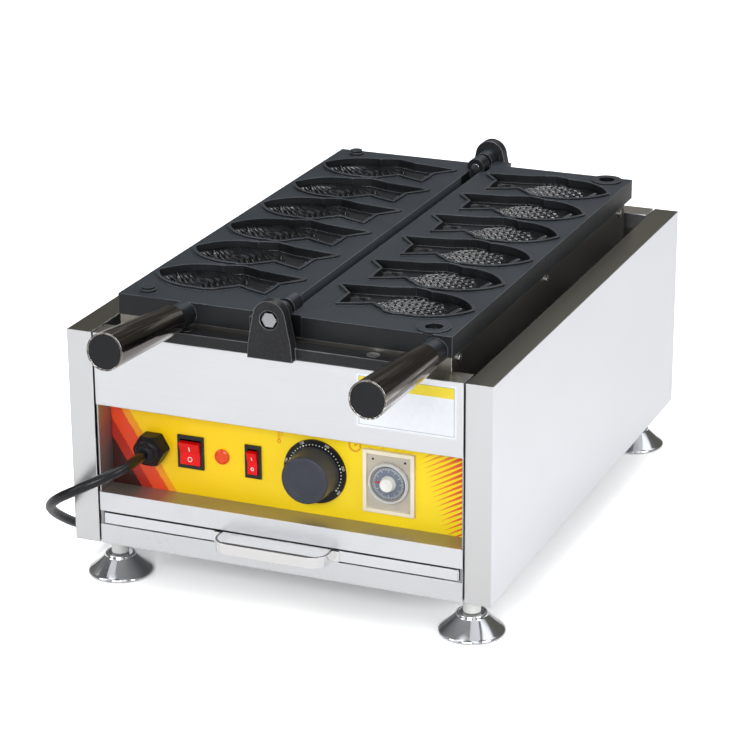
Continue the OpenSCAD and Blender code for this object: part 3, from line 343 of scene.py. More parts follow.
def coords(tree, scale=(1, 1, 1), move=(0, 0, 0)):
    place = putNode(tree, "TexCoord").outputs["Object"]
    return putNode(tree, "Mapping", Scale=scale, Location=move, Vector=place).outputs["Vector"]


def noise(tree, vector, scale, detail=2.0, rough=0.5):
    return putNode(tree, "TexNoise", Scale=scale, Detail=detail, Roughness=rough, Vector=vector).outputs["Fac"]


def sums(tree, operation, a, b=None, c=None):
    node = putNode(tree, "Math", a, b, c)
    node.operation = operation
    return node.outputs[0]


def spread(tree, value, low, high, newLow=0.0, newHigh=1.0):
    # Values between low and high moved to between newLow and newHigh, with soft ends
    node = putNode(tree, "MapRange", value, low, high, newLow, newHigh)
    node.interpolation_type = "SMOOTHSTEP"
    return node.outputs[0]


def blendColor(tree, factor, a, b):
    node = putNode(tree, "Mix", factor)
    node.data_type = "RGBA"
    feed(tree, node.inputs[6], a)
    feed(tree, node.inputs[7], b)
    return node.outputs[2]


def parts(tree, vector):
    return putNode(tree, "SeparateXYZ", vector).outputs


def faceNormal(tree):
    return putNode(tree, "NewGeometry").outputs["Normal"]


def upward(tree):
    # One on faces that look up, nought on the rest
    return spread(tree, parts(tree, faceNormal(tree))[2], 0.6, 0.95)


def within(tree, value, reach):
    # One where the value is nearer to nought than reach
    return sums(tree, "LESS_THAN", sums(tree, "ABSOLUTE", value), reach)


def softEdge(tree, radius):
    node = putNode(tree, "Bevel", Radius=radius)
    node.samples = 4
    return node.outputs["Normal"]


def edgeMask(tree, rounded, low=0.02, high=0.25):
    # One on outer and inner edges and nought on flats: how far the rounded normal leaves the real one
    dot = putNode(tree, "VectorMath", rounded, faceNormal(tree))
    dot.operation = "DOT_PRODUCT"
    return spread(tree, sums(tree, "SUBTRACT", 1.0, dot.outputs["Value"]), low, high)


def finishMaterial(mat, color, roughness=None, height=None, strength=0.0, distance=0.0, normal=None):
    # Links what the patterns gave: the colour, the roughness, and a bump over the rounded normal
    tree, bsdf = mat.node_tree, mat.node_tree.nodes["Principled BSDF"]
    feed(tree, bsdf.inputs["Base Color"], color)
    feed(tree, bsdf.inputs["Roughness"], roughness)
    if height is not None:
        node = putNode(tree, "Bump", Strength=strength, Distance=distance, Height=height, Normal=normal)
        tree.links.new(node.outputs["Normal"], bsdf.inputs["Normal"])
    return mat


def steelMaterial(name, color, roughness, grain=(1, 1, 1), dull=0.05, edge=0.0009, marks=0.05, lineDepth=0.008,
                  front=None, top=None, metallic=1.0):
    # Rolled sheet: fine lines along one way, faint cloudy wear, and a painted highlight that turns the folds near
    # white. Where front names a colour, the faces at the very front have that tone as painted light and shade; where
    # top does, those that look up, as painted shade
    mat, tree = startMaterial(name, Metallic=metallic, Roughness=roughness)
    lines = noise(tree, coords(tree, grain), 520, 2)
    cloud = noise(tree, coords(tree), 5, 3, 0.5)
    shade = spread(tree, cloud, 0.3, 0.7, 0.0, marks)
    shade = sums(tree, "ADD", shade, spread(tree, lines, 0.3, 0.7, 0.0, 0.04))
    base = blendColor(tree, shade, tint(color), tuple(c * 0.6 for c in tint(color)[:3]) + (1.0,))
    # Painted shade: the faces that look up take the darker top tone
    if top:
        base = blendColor(tree, upward(tree), base, tint(top))
    # Painted light and shade: the faces at the very front take the front tone
    if front:
        y = parts(tree, coords(tree))[1]
        base = blendColor(tree, sums(tree, "LESS_THAN", y, coverLow.y + 0.0006), base, tint(front))
    rounded = softEdge(tree, edge)
    # Painted highlight: the edges are blended to near white
    base = blendColor(tree, edgeMask(tree, rounded, 0.04, 0.2), base, (0.97, 0.97, 0.97, 1))
    return finishMaterial(mat, base,
                          spread(tree, cloud, 0.3, 0.75, roughness, roughness + dull),
                          lines, lineDepth, 0.0001, rounded)


def streakMaterial(name, dark, light, roughness, slope, edge=0.0006):
    # Polished dark chrome: long streaks of painted reflection drawn along a tube that falls by slope for each step
    # forwards, from nearly black to pale, and a painted highlight along the edges
    mat, tree = startMaterial(name, Metallic=1.0, Roughness=roughness)
    x, y, z = parts(tree, coords(tree))
    drawn = (x, sums(tree, "MULTIPLY", y, 0.01), sums(tree, "MULTIPLY_ADD", y, -slope, z))
    along = putNode(tree, "CombineXYZ", *drawn).outputs[0]
    streak = noise(tree, along, 330, 2, 0.6)
    broad = noise(tree, along, 90, 1)
    # Painted reflection: the streaks stand for the bright lines seen on the polished tube
    mask = sums(tree, "MULTIPLY", spread(tree, streak, 0.44, 0.66), spread(tree, broad, 0.36, 0.6))
    rounded = softEdge(tree, edge)
    base = blendColor(tree, mask, tint(dark), tint(light))
    # Painted highlight: the edges are blended to near white
    base = blendColor(tree, edgeMask(tree, rounded, 0.05, 0.2), base, tint("e8e8ea"))
    return finishMaterial(mat, base,
                          spread(tree, broad, 0.3, 0.7, roughness - 0.03, roughness + 0.05),
                          streak, 0.03, 0.0001, rounded)


def castMaterial(name, color, edgeWearAndHighlight, roughness=0.42, grainSize=1400, edge=0.0012, depth=0.35, top=None, recessShade=None,
                 seamLight=None):
    # Coated casting: a fine sandy grain, cloudy shine, and edges made lighter, partly by rubbed wear and partly as a
    # painted highlight. Where top names a colour, the faces that look up take that tone as a painted sheen; where
    # recessShade does, the moulds are painted that dark inside as shade; where seamLight does, the faces along the gap
    # between the plates take that lighter tone as painted light in the shaded gap
    mat, tree = startMaterial(name, Roughness=roughness, Specular_IOR_Level=0.35)
    rounded = softEdge(tree, edge)
    grain = noise(tree, coords(tree), grainSize, 2, 0.6)
    cloud = noise(tree, coords(tree), 14, 4, 0.6)
    # Lighter edges: partly rubbed wear, partly a painted highlight, in patches by the cloud
    mask = sums(tree, "MULTIPLY", edgeMask(tree, rounded), spread(tree, cloud, 0.35, 0.65, 0.5, 1.0))
    base = tint(color)
    # Painted sheen: the faces that look up take the lighter top tone
    if top:
        base = blendColor(tree, upward(tree), base, tint(top))
    x, y, z = parts(tree, coords(tree, move=(0, -shiftY, 0)))
    # Painted shade: inside the moulds, below the face, the colour is darkened
    if recessShade:
        inside = sums(tree, "MULTIPLY", sums(tree, "LESS_THAN", z, 0.2785), within(tree, y, 0.2465))
        inside = sums(tree, "MULTIPLY", inside, sums(tree, "COMPARE", sums(tree, "ABSOLUTE", x), 0.0815, 0.0715))
        base = blendColor(tree, inside, base, tint(recessShade))
    # Painted light: the faces along the gap between the plates are lightened where shade falls
    if seamLight:
        near = sums(tree, "MULTIPLY", within(tree, x, 0.0062), within(tree, y, 0.2))
        base = blendColor(tree, near, base, tint(seamLight))
    base = blendColor(tree, spread(tree, cloud, 0.3, 0.7, 0.0, 0.12), base, (0.05, 0.058, 0.066, 1))
    base = blendColor(tree, spread(tree, grain, 0.4, 0.75, 0.0, 0.1), base, (0.09, 0.10, 0.12, 1))
    return finishMaterial(mat, blendColor(tree, mask, base, tint(edgeWearAndHighlight)),
                          spread(tree, cloud, 0.3, 0.7, roughness - 0.05, roughness + 0.06),
                          grain, depth, 0.0003, rounded)


def mouldedMaterial(name, color, roughness, grainSize=1800, edge=0.0006, depth=0.08, **sockets):
    # Moulded plastic or rubber: an even colour with faint flow clouds and a very fine grain
    sockets.setdefault("Specular_IOR_Level", 0.3)
    mat, tree = startMaterial(name, Roughness=roughness, **sockets)
    cloud = noise(tree, coords(tree), 30, 3, 0.5)
    grain = noise(tree, coords(tree), grainSize, 2, 0.6)
    dark = tuple(c * 0.86 for c in tint(color)[:3]) + (1.0,)
    return finishMaterial(mat, blendColor(tree, spread(tree, cloud, 0.3, 0.7), tint(color), dark),
                          spread(tree, grain, 0.3, 0.7, roughness - 0.04, roughness + 0.05),
                          grain, depth, 0.0002, softEdge(tree, edge))


def dress(nodes, material):
    # Gives each of the CAD nodes named a finished material in all its slots
    for name in nodes.split():
        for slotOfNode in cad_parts[name].material_slots:
            slotOfNode.material = material
    return material


def paint(obj, material, body):
    # Finishes a new piece: its material, and the body it moves with
    obj.data.materials.append(material)
    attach(obj, body)
    return obj


# Finished materials, each with the CAD nodes that wear it
# The front and top tones of these steels are painted light and shade, set by which way each face looks, and their
# white fold edges a painted highlight
dress("left_side_cover right_side_cover",
      steelMaterial("sideSteel", "f5f7fc", 0.24, grain=(1, 0.02, 0.05), marks=0.01, dull=0.01, lineDepth=0.002,
                    edge=0.0014, front="dfe0e2", top="b4b0a6"))
dress("front_cover rear_cover rear_top_rail",
      steelMaterial("frontSteel", "eaecf0", 0.28, grain=(0.02, 1, 1), edge=0.0014, top="c4c0b6"))
dress("bottom_rail", steelMaterial("railSteel", "e6e8ec", 0.26, grain=(0.02, 1, 1)))
dress("ledge_rail",
      steelMaterial("ledgeSteel", "a29e95", 0.3, grain=(0.02, 1, 1), edge=0.0006, front="e4e6ea", metallic=0.7))
dress("crumb_drawer", steelMaterial("drawerSteel", "eef1f6", 0.2, grain=(0.02, 1, 1), edge=0.0007))
# Painted shade: the pull's top tone darkens the strap's top edge
dress("drawer_pull", steelMaterial("pullSteel", "f4f4f5", 0.12, grain=(0.02, 1, 1), edge=0.0004, top="6f6a64"))
dress("chassis cross_rails heat_shield drawer_runners",
      steelMaterial("zincSheet", "b9bbbd", 0.38, grain=(0.05, 1, 1), dull=0.2, marks=0.5))
dress("left_heater_tray right_heater_tray",
      steelMaterial("traySteel", "8a867f", 0.3, grain=(1, 0.03, 0.03), dull=0.1, marks=0.3, edge=0.0007))
dress("left_handle_stud right_handle_stud hinge_bar_screws tray_screws rear_cover_screws",
      steelMaterial("screwSteel", "d5d6d8", 0.25, edge=0.0004))
dress("front_hinge_bolt rear_hinge_bolt", steelMaterial("boltZinc", "b4b6ba", 0.24, edge=0.0006, marks=0.5))
footChrome = dress("front_left_foot front_right_foot rear_left_foot rear_right_foot",
                   steelMaterial("footChrome", "eeeff1", 0.09, edge=0.0006, marks=0.05))
dress("left_handle_tube", streakMaterial("leftDarkChrome", "6a635d", "f2eee9", 0.16, -0.0963))
dress("right_handle_tube", streakMaterial("rightDarkChrome", "6a635d", "f2eee9", 0.16, -0.0577))
dress("thermostat_probe", steelMaterial("capillary", "c98d62", 0.3, edge=0.0003))
# plateCoating paints a sheen on its tops, shade inside the moulds and light along the gap between the plates; its
# lighter edges are partly a painted highlight
dress("left_plate right_plate",
      castMaterial("plateCoating", "07090c", "8b9298", edge=0.0009, top="2c333a", recessShade="040506", seamLight="4a5158"))
# bracketIron's light edges are partly rubbed wear and partly a painted highlight
dress("front_hinge_bar rear_hinge_bar",
      castMaterial("bracketIron", "151517", "b4b6ba", grainSize=650, edge=0.0014, depth=0.6))
dress("power_relay alarm_buzzer power_plug", mouldedMaterial("blackPlastic", "131416", 0.34))
dress("left_handle_cap right_handle_cap", mouldedMaterial("capPlastic", "17181b", 0.5, edge=0.0007))
dress("power_switch_case alarm_switch_case", mouldedMaterial("bezelPlastic", "232427", 0.32))
glandNylon = dress("cable_gland",
                   mouldedMaterial("glandNylon", "211f24", 0.24, edge=0.0008, depth=0.03, Specular_IOR_Level=0.12))
dress("temperature_dial", mouldedMaterial("dialPlastic", "111114", 0.36))
dress("timer_case", mouldedMaterial("creamPlastic", "f3ead3", 0.38))
dress("foot_sleeves", mouldedMaterial("sleeveNylon", "eeeeea", 0.45, Subsurface_Weight=0.05))
dress("thermostat", mouldedMaterial("tanPlastic", "b98f62", 0.5))
dress("terminal_block", mouldedMaterial("blockPlastic", "e6e0cf", 0.45))
cordRubber = mouldedMaterial("cordRubber", "0c0e13", 0.3, grainSize=1200, depth=0.02, Specular_IOR_Level=0.4)
dress("power_rocker alarm_rocker", mouldedMaterial("rockerRed", "ee0a08", 0.3, edge=0.001, depth=0.02))


def elementMaterial():
    # Heating tube: steel turned straw, brown and blue by heat in slow bands along its length
    mat, tree = startMaterial("elementSteel", Metallic=0.85, Roughness=0.42)
    band = noise(tree, coords(tree, (1, 3, 1)), 12, 4, 0.6)
    warm = blendColor(tree, spread(tree, band, 0.3, 0.5), tint("6d665c"), tint("8a6f50"))
    return finishMaterial(mat, blendColor(tree, spread(tree, band, 0.5, 0.7), warm, tint("4c4f5b")),
                          None, noise(tree, coords(tree), 800, 3), 0.25, 0.0002)


def panelMaterial():
    # Lacquered yellow panel: a slow fade from left to right, slanting warm stripes at the left end,
    # and thin rising stripes at the right end that widen outwards
    mat, tree = startMaterial("panelLacquer", Roughness=0.3, Specular_IOR_Level=0.35)
    x, _, z = parts(tree, coords(tree))
    z = sums(tree, "SUBTRACT", z, 0.1365)
    speck = noise(tree, coords(tree), 420, 3, 0.7)
    base = blendColor(tree, spread(tree, x, -0.17, 0.10), tint("fbcb02"), tint("ffe01e"))
    lean = sums(tree, "MULTIPLY_ADD", z, 0.62, x)
    rough = sums(tree, "MULTIPLY_ADD", speck, 0.004, lean)
    for edge, color in ((-0.133, "f59a1a"), (-0.141, "ea4a24"), (-0.157, "b32a1c"), (-0.168, "3a1712")):
        base = blendColor(tree, spread(tree, rough, edge + 0.0008, edge - 0.0008), base, tint(color))
    wave = sums(tree, "SINE", sums(tree, "MULTIPLY", sums(tree, "MULTIPLY_ADD", x, -0.55, z), 1250.0))
    reach = spread(tree, sums(tree, "MULTIPLY_ADD", z, 0.35, x), 0.126, 0.186, 1.15, -0.8)
    stripe = spread(tree, sums(tree, "SUBTRACT", sums(tree, "MULTIPLY_ADD", speck, 0.3, wave), reach), 0.0, 0.25)
    warm = blendColor(tree, spread(tree, x, 0.13, 0.172), tint("f2a024"), tint("e2371f"))
    base = blendColor(tree, stripe, base, warm)
    return finishMaterial(mat, base,
                          None, noise(tree, coords(tree), 500, 2), 0.02, 0.0001, softEdge(tree, 0.0006))


def lampMaterial():
    # Amber lens: clear orange plastic over a faceted reflector, darker towards its rim
    mat, tree = startMaterial("lampLens", Roughness=0.2, Specular_IOR_Level=0.4)
    cells = putNode(tree, "TexVoronoi", Scale=700, Vector=coords(tree)).outputs["Distance"]
    spot = spread(tree, cells, 0.1, 0.7)
    return finishMaterial(mat, blendColor(tree, spot, tint("f2581c"), tint("e24410")),
                          None, cells, 0.12, 0.0002, softEdge(tree, 0.0006))


def windowMaterial():
    # Clear plastic ring of the timer: partly see-through, milky where it is thick
    mat, tree = startMaterial("timerWindow", Roughness=0.08, IOR=1.46, Transmission_Weight=0.35)
    haze = noise(tree, coords(tree), 60, 3)
    return finishMaterial(mat, blendColor(tree, haze, tint("f6f6f4"), tint("e6e8ea")),
                          None, haze, 0.05, 0.0003)


dress("control_panel", panelMaterial())
dress("left_heating_element right_heating_element", elementMaterial())
dress("pilot_lamp", lampMaterial())
dress("timer_window", windowMaterial())
mainsCord.data.materials.append(cordRubber)
print("materials: %d" % len(bpy.data.materials))

# Linings of the moulds: the scaled floor of each fish body, one object for each plate
mouldSet = {
    "count": 6,
    "pitch": 0.075,
    "middleX": 0.1038,
    "back": 0.003,
    "arc": 0.0484,          # radius of the two arcs that bound the lining
    "arcOff": 0.01863,
    "ballRadius": 0.1488,
    "ballUp": 0.1406,
    "face": 0.279,
    "tailDeep": 0.006,
    "rows": 130,
    "columns": 84,
    "scale": 0.0064,
    "scaleRelief": 0.0016,
    "ribRelief": 0.003,
    "rightFloor": (0.0017, 1.24),    # how far the floor is lifted at its edge, and how much it is deepened inwards
    "leftFloor": (0.0026, 1.1),
}


def scaleRelief(x, y, pitch):
    # Overlapping scallops: each point takes the highest of the nearest domes of a staggered lattice,
    # and every dome leans so that its edge towards the tail stands up
    step = pitch * 0.82
    row = np.round(x / step)
    best = np.zeros_like(x)
    for near in (-1, 0, 1):
        r = row + near
        offset = np.where(np.mod(r, 2) == 0, 0.0, 0.5) * pitch
        cy = np.round((y - offset) / pitch) * pitch + offset
        dx, dy = (x - r * step) / (pitch * 0.66), (y - cy) / (pitch * 0.56)
        dome = np.clip(1 - dx ** 2 - dy ** 2, 0, 1) ** 0.7
        best = np.maximum(best, dome * (0.7 - 0.4 * np.clip(dx, -1, 1)))
    return best


def ribRelief(x, y, pitch):
    # Long ribs that sweep from the back to the belly and steepen towards the tail: a cosine of a bent
    # distance, sharpened to narrow ridges and swelling along their length as if cut by hand
    lean = np.clip(0.85 + 11.0 * x, 0.45, 1.3)
    across = x * 0.72 - y * lean + 0.0011 * np.sin(2 * np.pi * (x + 0.6 * y) / 0.034)
    ridge = np.clip(0.5 + 0.5 * np.cos(2 * np.pi * across / pitch), 0, 1) ** 1.6
    return ridge * (0.78 + 0.22 * np.sin(2 * np.pi * (0.7 * x + y) / 0.017))


def mouldFloor(x, y, s, shape):
    # Height of the bowl under the face: the higher of the two balls that cut it, lifted and deepened
    def under(off):
        return s["ballUp"] - np.sqrt(s["ballRadius"] ** 2 - x ** 2 - (y + off) ** 2)
    return s["face"] - s["tailDeep"] + shape[0] + shape[1] * np.maximum(under(s["arcOff"]), under(-s["arcOff"]))


def mouldSheets(name, s, side, x, y, z, relief, low, ahead=0.0):
    # One closed sheet for each mould of a plate: a grid on top, a skirt down to the height low, and a base.
    # The height of the pattern goes with it as an attribute from 0 to 1, for the material.
    grid = np.arange(x.size).reshape(x.shape)
    edge = np.concatenate([grid[0, :-1], grid[:-1, -1], grid[-1, :0:-1], grid[:0:-1, 0]])
    skirt = x.size + np.arange(len(edge))
    walls = np.stack([edge, np.roll(edge, -1), np.roll(skirt, -1), skirt], -1)
    faces = gridFaces(*x.shape).tolist() + walls.tolist() + [skirt.tolist()]
    made = []
    for i in range(s["count"]):
        middleY = (i - (s["count"] - 1) / 2) * s["pitch"] + ahead + shiftY
        top = np.stack([side * x, middleY + y, z], -1).reshape(-1, 3)
        rim = top[edge].copy()
        rim[:, 2] = low
        made.append((np.concatenate([top, rim]), faces))
    obj = makeObject(name, *joinParts(made))
    height = np.concatenate([relief.ravel() / relief.max(), np.zeros(len(edge))])
    crests = obj.data.attributes.new("relief", "FLOAT", "POINT")
    crests.data.foreach_set("value", np.tile(height, s["count"]).astype(np.float32))
    return obj


def mouldLining(name, s, side, pattern, shape):
    # Grid over the fish body: x runs from tail to nose, y between the two arcs; height is the bowl's
    # floor plus the pattern, which fades out before the edge
    u = np.linspace(-0.985, 0.985, s["rows"])[:, None]
    v = np.linspace(-1, 1, s["columns"])[None, :]
    half = math.sqrt(s["arc"] ** 2 - s["arcOff"] ** 2)
    x = half * u + 0 * v
    width = np.sqrt(s["arc"] ** 2 - x ** 2) - s["arcOff"]
    y = width * v
    rim = np.clip((1 - np.abs(v)) * width / 0.004, 0, 1) * np.clip((1 - np.abs(u)) * half / 0.005, 0, 1)
    relief = rim * pattern(x, y)
    z = mouldFloor(x, y, s, shape) + 0.00015 + relief
    return mouldSheets(name, s, side, s["middleX"] + x, y, z, relief, s["face"] - 0.0142, s["back"])


def rightPattern(x, y):
    # Scales over the middle and tail, a gill arc, an eye ring and a smooth head towards the nose
    head = 1 / (1 + np.exp((x - 0.019 + 0.35 * np.abs(y)) / 0.0016))
    gill = np.exp(-((np.hypot(x - 0.040, y) - 0.021) / 0.0011) ** 2) * (x < 0.03)
    eye = np.exp(-((np.hypot(x - 0.030, y - 0.004) - 0.0024) / 0.0008) ** 2)
    return mouldSet["scaleRelief"] * (head * scaleRelief(x, y, mouldSet["scale"]) + 0.9 * gill + 0.8 * eye)


def leftPattern(x, y):
    # Ribs over most of the body that run out towards its back, a patch of small scales at the belly
    # and a smooth nose
    head = 1 / (1 + np.exp((x - 0.036 + 0.25 * np.abs(y)) / 0.002))
    head = head / (1 + np.exp((y - 0.0165 + 0.25 * x) / 0.0022))
    patch = np.exp(-(((x - 0.004) / 0.010) ** 2 + ((y + 0.0175) / 0.007) ** 2))
    mix = np.clip(1.8 * patch, 0, 1)
    gill = np.exp(-((np.hypot(x - 0.050, y + 0.004) - 0.022) / 0.0012) ** 2) * (x < 0.04)
    body = ribRelief(x, y, 0.0058) * (1 - mix) + scaleRelief(x, y, 0.0046) * mix
    return mouldSet["ribRelief"] * (head * body + 0.6 * gill)


def liningMaterial():
    # Seasoned non-stick coating: glossy black, greasy in patches, and lighter on the crests as a painted highlight
    mat, tree = startMaterial("mouldCoating", Roughness=0.2, Specular_IOR_Level=0.5)
    patch = noise(tree, coords(tree), 70, 3, 0.6)
    base = blendColor(tree, spread(tree, patch, 0.35, 0.7), tint("050607"), tint("0e1013"))
    crest = putNode(tree, "Attribute")
    crest.attribute_name = "relief"
    # Painted highlight: the crests of the relief are lightened
    crestHighlight = spread(tree, crest.outputs["Fac"], 0.6, 1.0, 0.0, 0.6)
    return finishMaterial(mat, blendColor(tree, crestHighlight, base, tint("8d959d")),
                          spread(tree, patch, 0.3, 0.7, 0.16, 0.26),
                          noise(tree, coords(tree), 1500, 2), 0.06, 0.0001)


mouldCoating = liningMaterial()
paint(mouldLining("rightMouldLinings", mouldSet, 1, rightPattern, mouldSet["rightFloor"]), mouldCoating,
      "right_plate_assembly")
paint(mouldLining("leftMouldLinings", mouldSet, -1, leftPattern, mouldSet["leftFloor"]), mouldCoating,
      "left_plate_assembly")
print("mould linings made")

# Ribs in the tails and fins of the moulds: low ridges that run out like the rays of a fin
ribSet = {
    "width": 0.0022,
    "height": 0.0012,
    "upper": [(0.010, 0.0275), (0.016, 0.0235), (0.020, 0.0185), (0.0215, 0.0130)],
    "lower": [(-0.004, -0.0165), (0.0, -0.0125)],
    "backFin": [(0.074, 0.0315, 0.078, 0.0362), (0.080, 0.0325, 0.084, 0.0380), (0.086, 0.0330, 0.090, 0.0372)],
    "bellyFin": [(0.082, -0.0195, 0.079, -0.0135), (0.088, -0.0235, 0.085, -0.0175)],
}


def ridge(start, end, width, height, base, count=9, sides=7):
    # Half an ellipse carried along a straight line, swelling from nothing to full size and back
    t = np.linspace(0, 1, count)[:, None]
    swell = np.sqrt(np.clip(1 - (2 * t - 1) ** 2, 0.02, 1))
    start, end = np.asarray(start, float), np.asarray(end, float)
    way = (end - start) / np.linalg.norm(end - start)
    across = np.array([-way[1], way[0]])
    angle = np.linspace(0, np.pi, sides)[None, :]
    middle = start + t * (end - start)
    xy = middle[:, None] + (width / 2 * swell * np.cos(angle))[..., None] * across
    z = base - 0.0003 + (height + 0.0003) * swell * np.sin(angle)
    points = np.concatenate([xy, z[..., None]], -1).reshape(-1, 3)
    faces = gridFaces(count, sides).tolist()
    k = np.arange(count - 1)
    faces += np.stack([k * sides, (k + 1) * sides, (k + 2) * sides - 1, (k + 1) * sides - 1], -1).tolist()
    return points, faces + endCaps(count, sides)


def finRibs(name, side, s, m):
    floor = m["face"] - m["tailDeep"]
    made = []
    for i in range(m["count"]):
        y = (i - (m["count"] - 1) / 2) * m["pitch"] + shiftY
        lines = [((0.050, a), (0.0265, b)) for a, b in s["upper"]] + [((0.050, a), (0.0420, b)) for a, b in s["lower"]]
        lines += [((p[0], p[1]), (p[2], p[3])) for p in s["backFin"] + s["bellyFin"]]
        for start, end in lines:
            made.append(ridge((side * start[0], y + start[1]), (side * end[0], y + end[1]),
                              s["width"], s["height"], floor))
    return makeObject(name, *joinParts(made))


finSet = {
    "root": 0.0578,          # where the tail's own measures start, from the hinge axis
    "lower": [(0.0095, -0.0090), (0.0150, -0.0155), (0.0225, -0.0242), (0.0320, -0.0281), (0.0425, -0.0262)],
    "rows": 44, "columns": 22, "pitch": 0.0052, "height": 0.0026, "way": (0.62, -0.78),
}


def finPatch(name, side, s, m):
    # The fin under the belly: a grid between the fin's free edge and the body's lower arc. Its ribs are
    # a cosine of the distance across their own slanting direction, and they fade at the rim.
    edge = smoothPath(np.array(s["lower"]), 12)
    pick = np.linspace(0, len(edge) - 1, s["rows"]).round().astype(int)
    free = edge[pick] + [s["root"], 0]
    arcY = m["back"] - (np.sqrt(m["arc"] ** 2 - (free[:, 0] - m["middleX"]) ** 2) - m["arcOff"])
    bound = np.stack([free[:, 0], np.maximum(arcY - 0.0005, free[:, 1] + 0.0004)], -1)
    v = np.linspace(0, 1, s["columns"])[None, :, None]
    grid = free[:, None] * (1 - v) + bound[:, None] * v
    x, y = grid[..., 0], grid[..., 1]
    across = x * -s["way"][1] + y * s["way"][0]
    fade = np.clip((1 - np.abs(2 * v[..., 0] - 1)) * 5, 0, 1)
    wave = np.clip(0.5 + 0.5 * np.cos(2 * np.pi * across / s["pitch"]), 0, 1) ** 1.2
    relief = s["height"] * fade * wave
    z = m["face"] - m["tailDeep"] + 0.0002 + relief
    return mouldSheets(name, m, side, x, y, z, relief, m["face"] - m["tailDeep"] - 0.0006)


paint(finPatch("leftBellyFins", -1, finSet, mouldSet), mouldCoating, "left_plate_assembly")
paint(finPatch("rightBellyFins", 1, finSet, mouldSet), mouldCoating, "right_plate_assembly")
paint(finRibs("rightFinRibs", 1, ribSet, mouldSet), mouldCoating, "right_plate_assembly")
paint(finRibs("leftFinRibs", -1, ribSet, mouldSet), mouldCoating, "left_plate_assembly")
print("fin ribs made")

# Feet: four polished bells, each turned round its own stud
footSet = {
    "base": [(0, 0), (0.0285, 0), (0.0296, 0.0004), (0.03, 0.0012), (0.0299, 0.0022), (0.0293, 0.0032),
             (0.0282, 0.0041)],
    "top": [(0.0150, 0.0164), (0.0144, 0.0170), (0.0141, 0.0178), (0.0139, 0.0187), (0.0134, 0.0195),
            (0.0127, 0.0199), (0.0120, 0.0197), (0.0114, 0.0191), (0.0050, 0.0190), (0.0050, 0.0445), (0, 0.0445)],
    "hollow": 0.0005,        # how far the cone's side dips in half way up
    "rings": 14,
    "sides": 96,
}


def footBell(node, s):
    # The side runs straight from base to top, less a shallow parabola
    low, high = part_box(node)
    t = np.linspace(0, 1, s["rings"] + 2)[1:-1, None]
    first, last = np.array(s["base"][-1]), np.array(s["top"][0])
    side = first + t * (last - first) - np.array([1.0, 0.0]) * s["hollow"] * 4 * t * (1 - t)
    profile = np.concatenate([s["base"], side, s["top"]])
    centre = ((low.x + high.x) / 2, (low.y + high.y) / 2, 0)
    name = "".join([w.title() for w in node.split("_")])
    bell = makeObject("bell" + name, *turnedShape(profile, centre, (0, 0, 1), s["sides"]))
    paint(creased(bell), footChrome, node)
    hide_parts(node)


for footNode in ("front_left_foot", "front_right_foot", "rear_left_foot", "rear_right_foot"):
    footBell(footNode, footSet)
print("feet made")

# Cord gland: a six-sided nut with its corners turned down, a domed clamping cap, and the thread and
# lock nut behind the panel. Heights are counted outwards from the panel.
glandSet = {
    "flats": 0.027, "lockFlats": 0.0234, "sides": 96,
    "nut": [(0, 0), (0.0150, 0), (0.0156, 0.0006), (0.0156, 0.0120), (0.0150, 0.0130), (0.0141, 0.0139), (0, 0.0139)],
    "dome": [(0, 0.0130), (0.0124, 0.0130), (0.0125, 0.0143), (0.0124, 0.0158), (0.0119, 0.0172), (0.0110, 0.0182),
             (0.0100, 0.0188), (0.0095, 0.0190), (0.0093, 0.0193), (0.0095, 0.0197), (0.0095, 0.0206),
             (0.0090, 0.0218), (0.0081, 0.0229), (0.0070, 0.0236), (0.0058, 0.0239), (0, 0.0239)],
    "thread": [(0, -0.012), (0.0094, -0.012), (0.0099, -0.0115), (0.0099, 0.0004), (0, 0.0004)],
    "lock": [(0, -0.0062), (0.0130, -0.0062), (0.0134, -0.0058), (0.0134, -0.0016), (0.0130, -0.0013), (0, -0.0013)],
}


def cordGland(s):
    centre, out = (cordSet["exit"][0], shiftY - 0.244, cordSet["exit"][2]), (0, -1, 0)
    made = [turnedShape(s["nut"], centre, out, s["sides"], s["flats"]),
            turnedShape(s["dome"], centre, out, s["sides"]),
            turnedShape(s["thread"], centre, out, 48),
            turnedShape(s["lock"], centre, out, s["sides"], s["lockFlats"])]
    return creased(makeObject("cordGland", *joinParts(made)), 24)


gland = paint(cordGland(glandSet), glandNylon, "casing")
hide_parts("cable_gland")
print("gland made")

# Controls on the yellow panel
panelY = shiftY - 0.244
controlZ = 0.1355
panelRight, panelUp = (1.0, 0.0, 0.0), (0.0, 0.0, 1.0)


def atPanel(x, z=0.0, out=0.0):
    # A point of the panel: z counts from the row of controls, out towards the front
    return x, panelY - out, controlZ + z


def turnedPiece(name, profile, place, sides):
    return makeObject(name, *turnedShape(profile, place, (0, -1, 0), sides))


def printed(outline, place, lift):
    return flatPrint(outline, place, panelRight, panelUp, lift)


whiteInk = mouldedMaterial("whiteInk", "f2f2ee", 0.5, depth=0.02, edge=0.0001)
blackInk = mouldedMaterial("blackInk", "202022", 0.5, depth=0.02, edge=0.0001)
orangeInk = mouldedMaterial("orangeInk", "d86a1c", 0.5, depth=0.02, edge=0.0001)
redInk = mouldedMaterial("redInk", "c4201a", 0.45, depth=0.02, edge=0.0001)

knobSet = {"x": 0.027, "base": 0.0025, "height": 0.023, "wide": 0.024, "narrow": 0.022, "round": 0.0022}


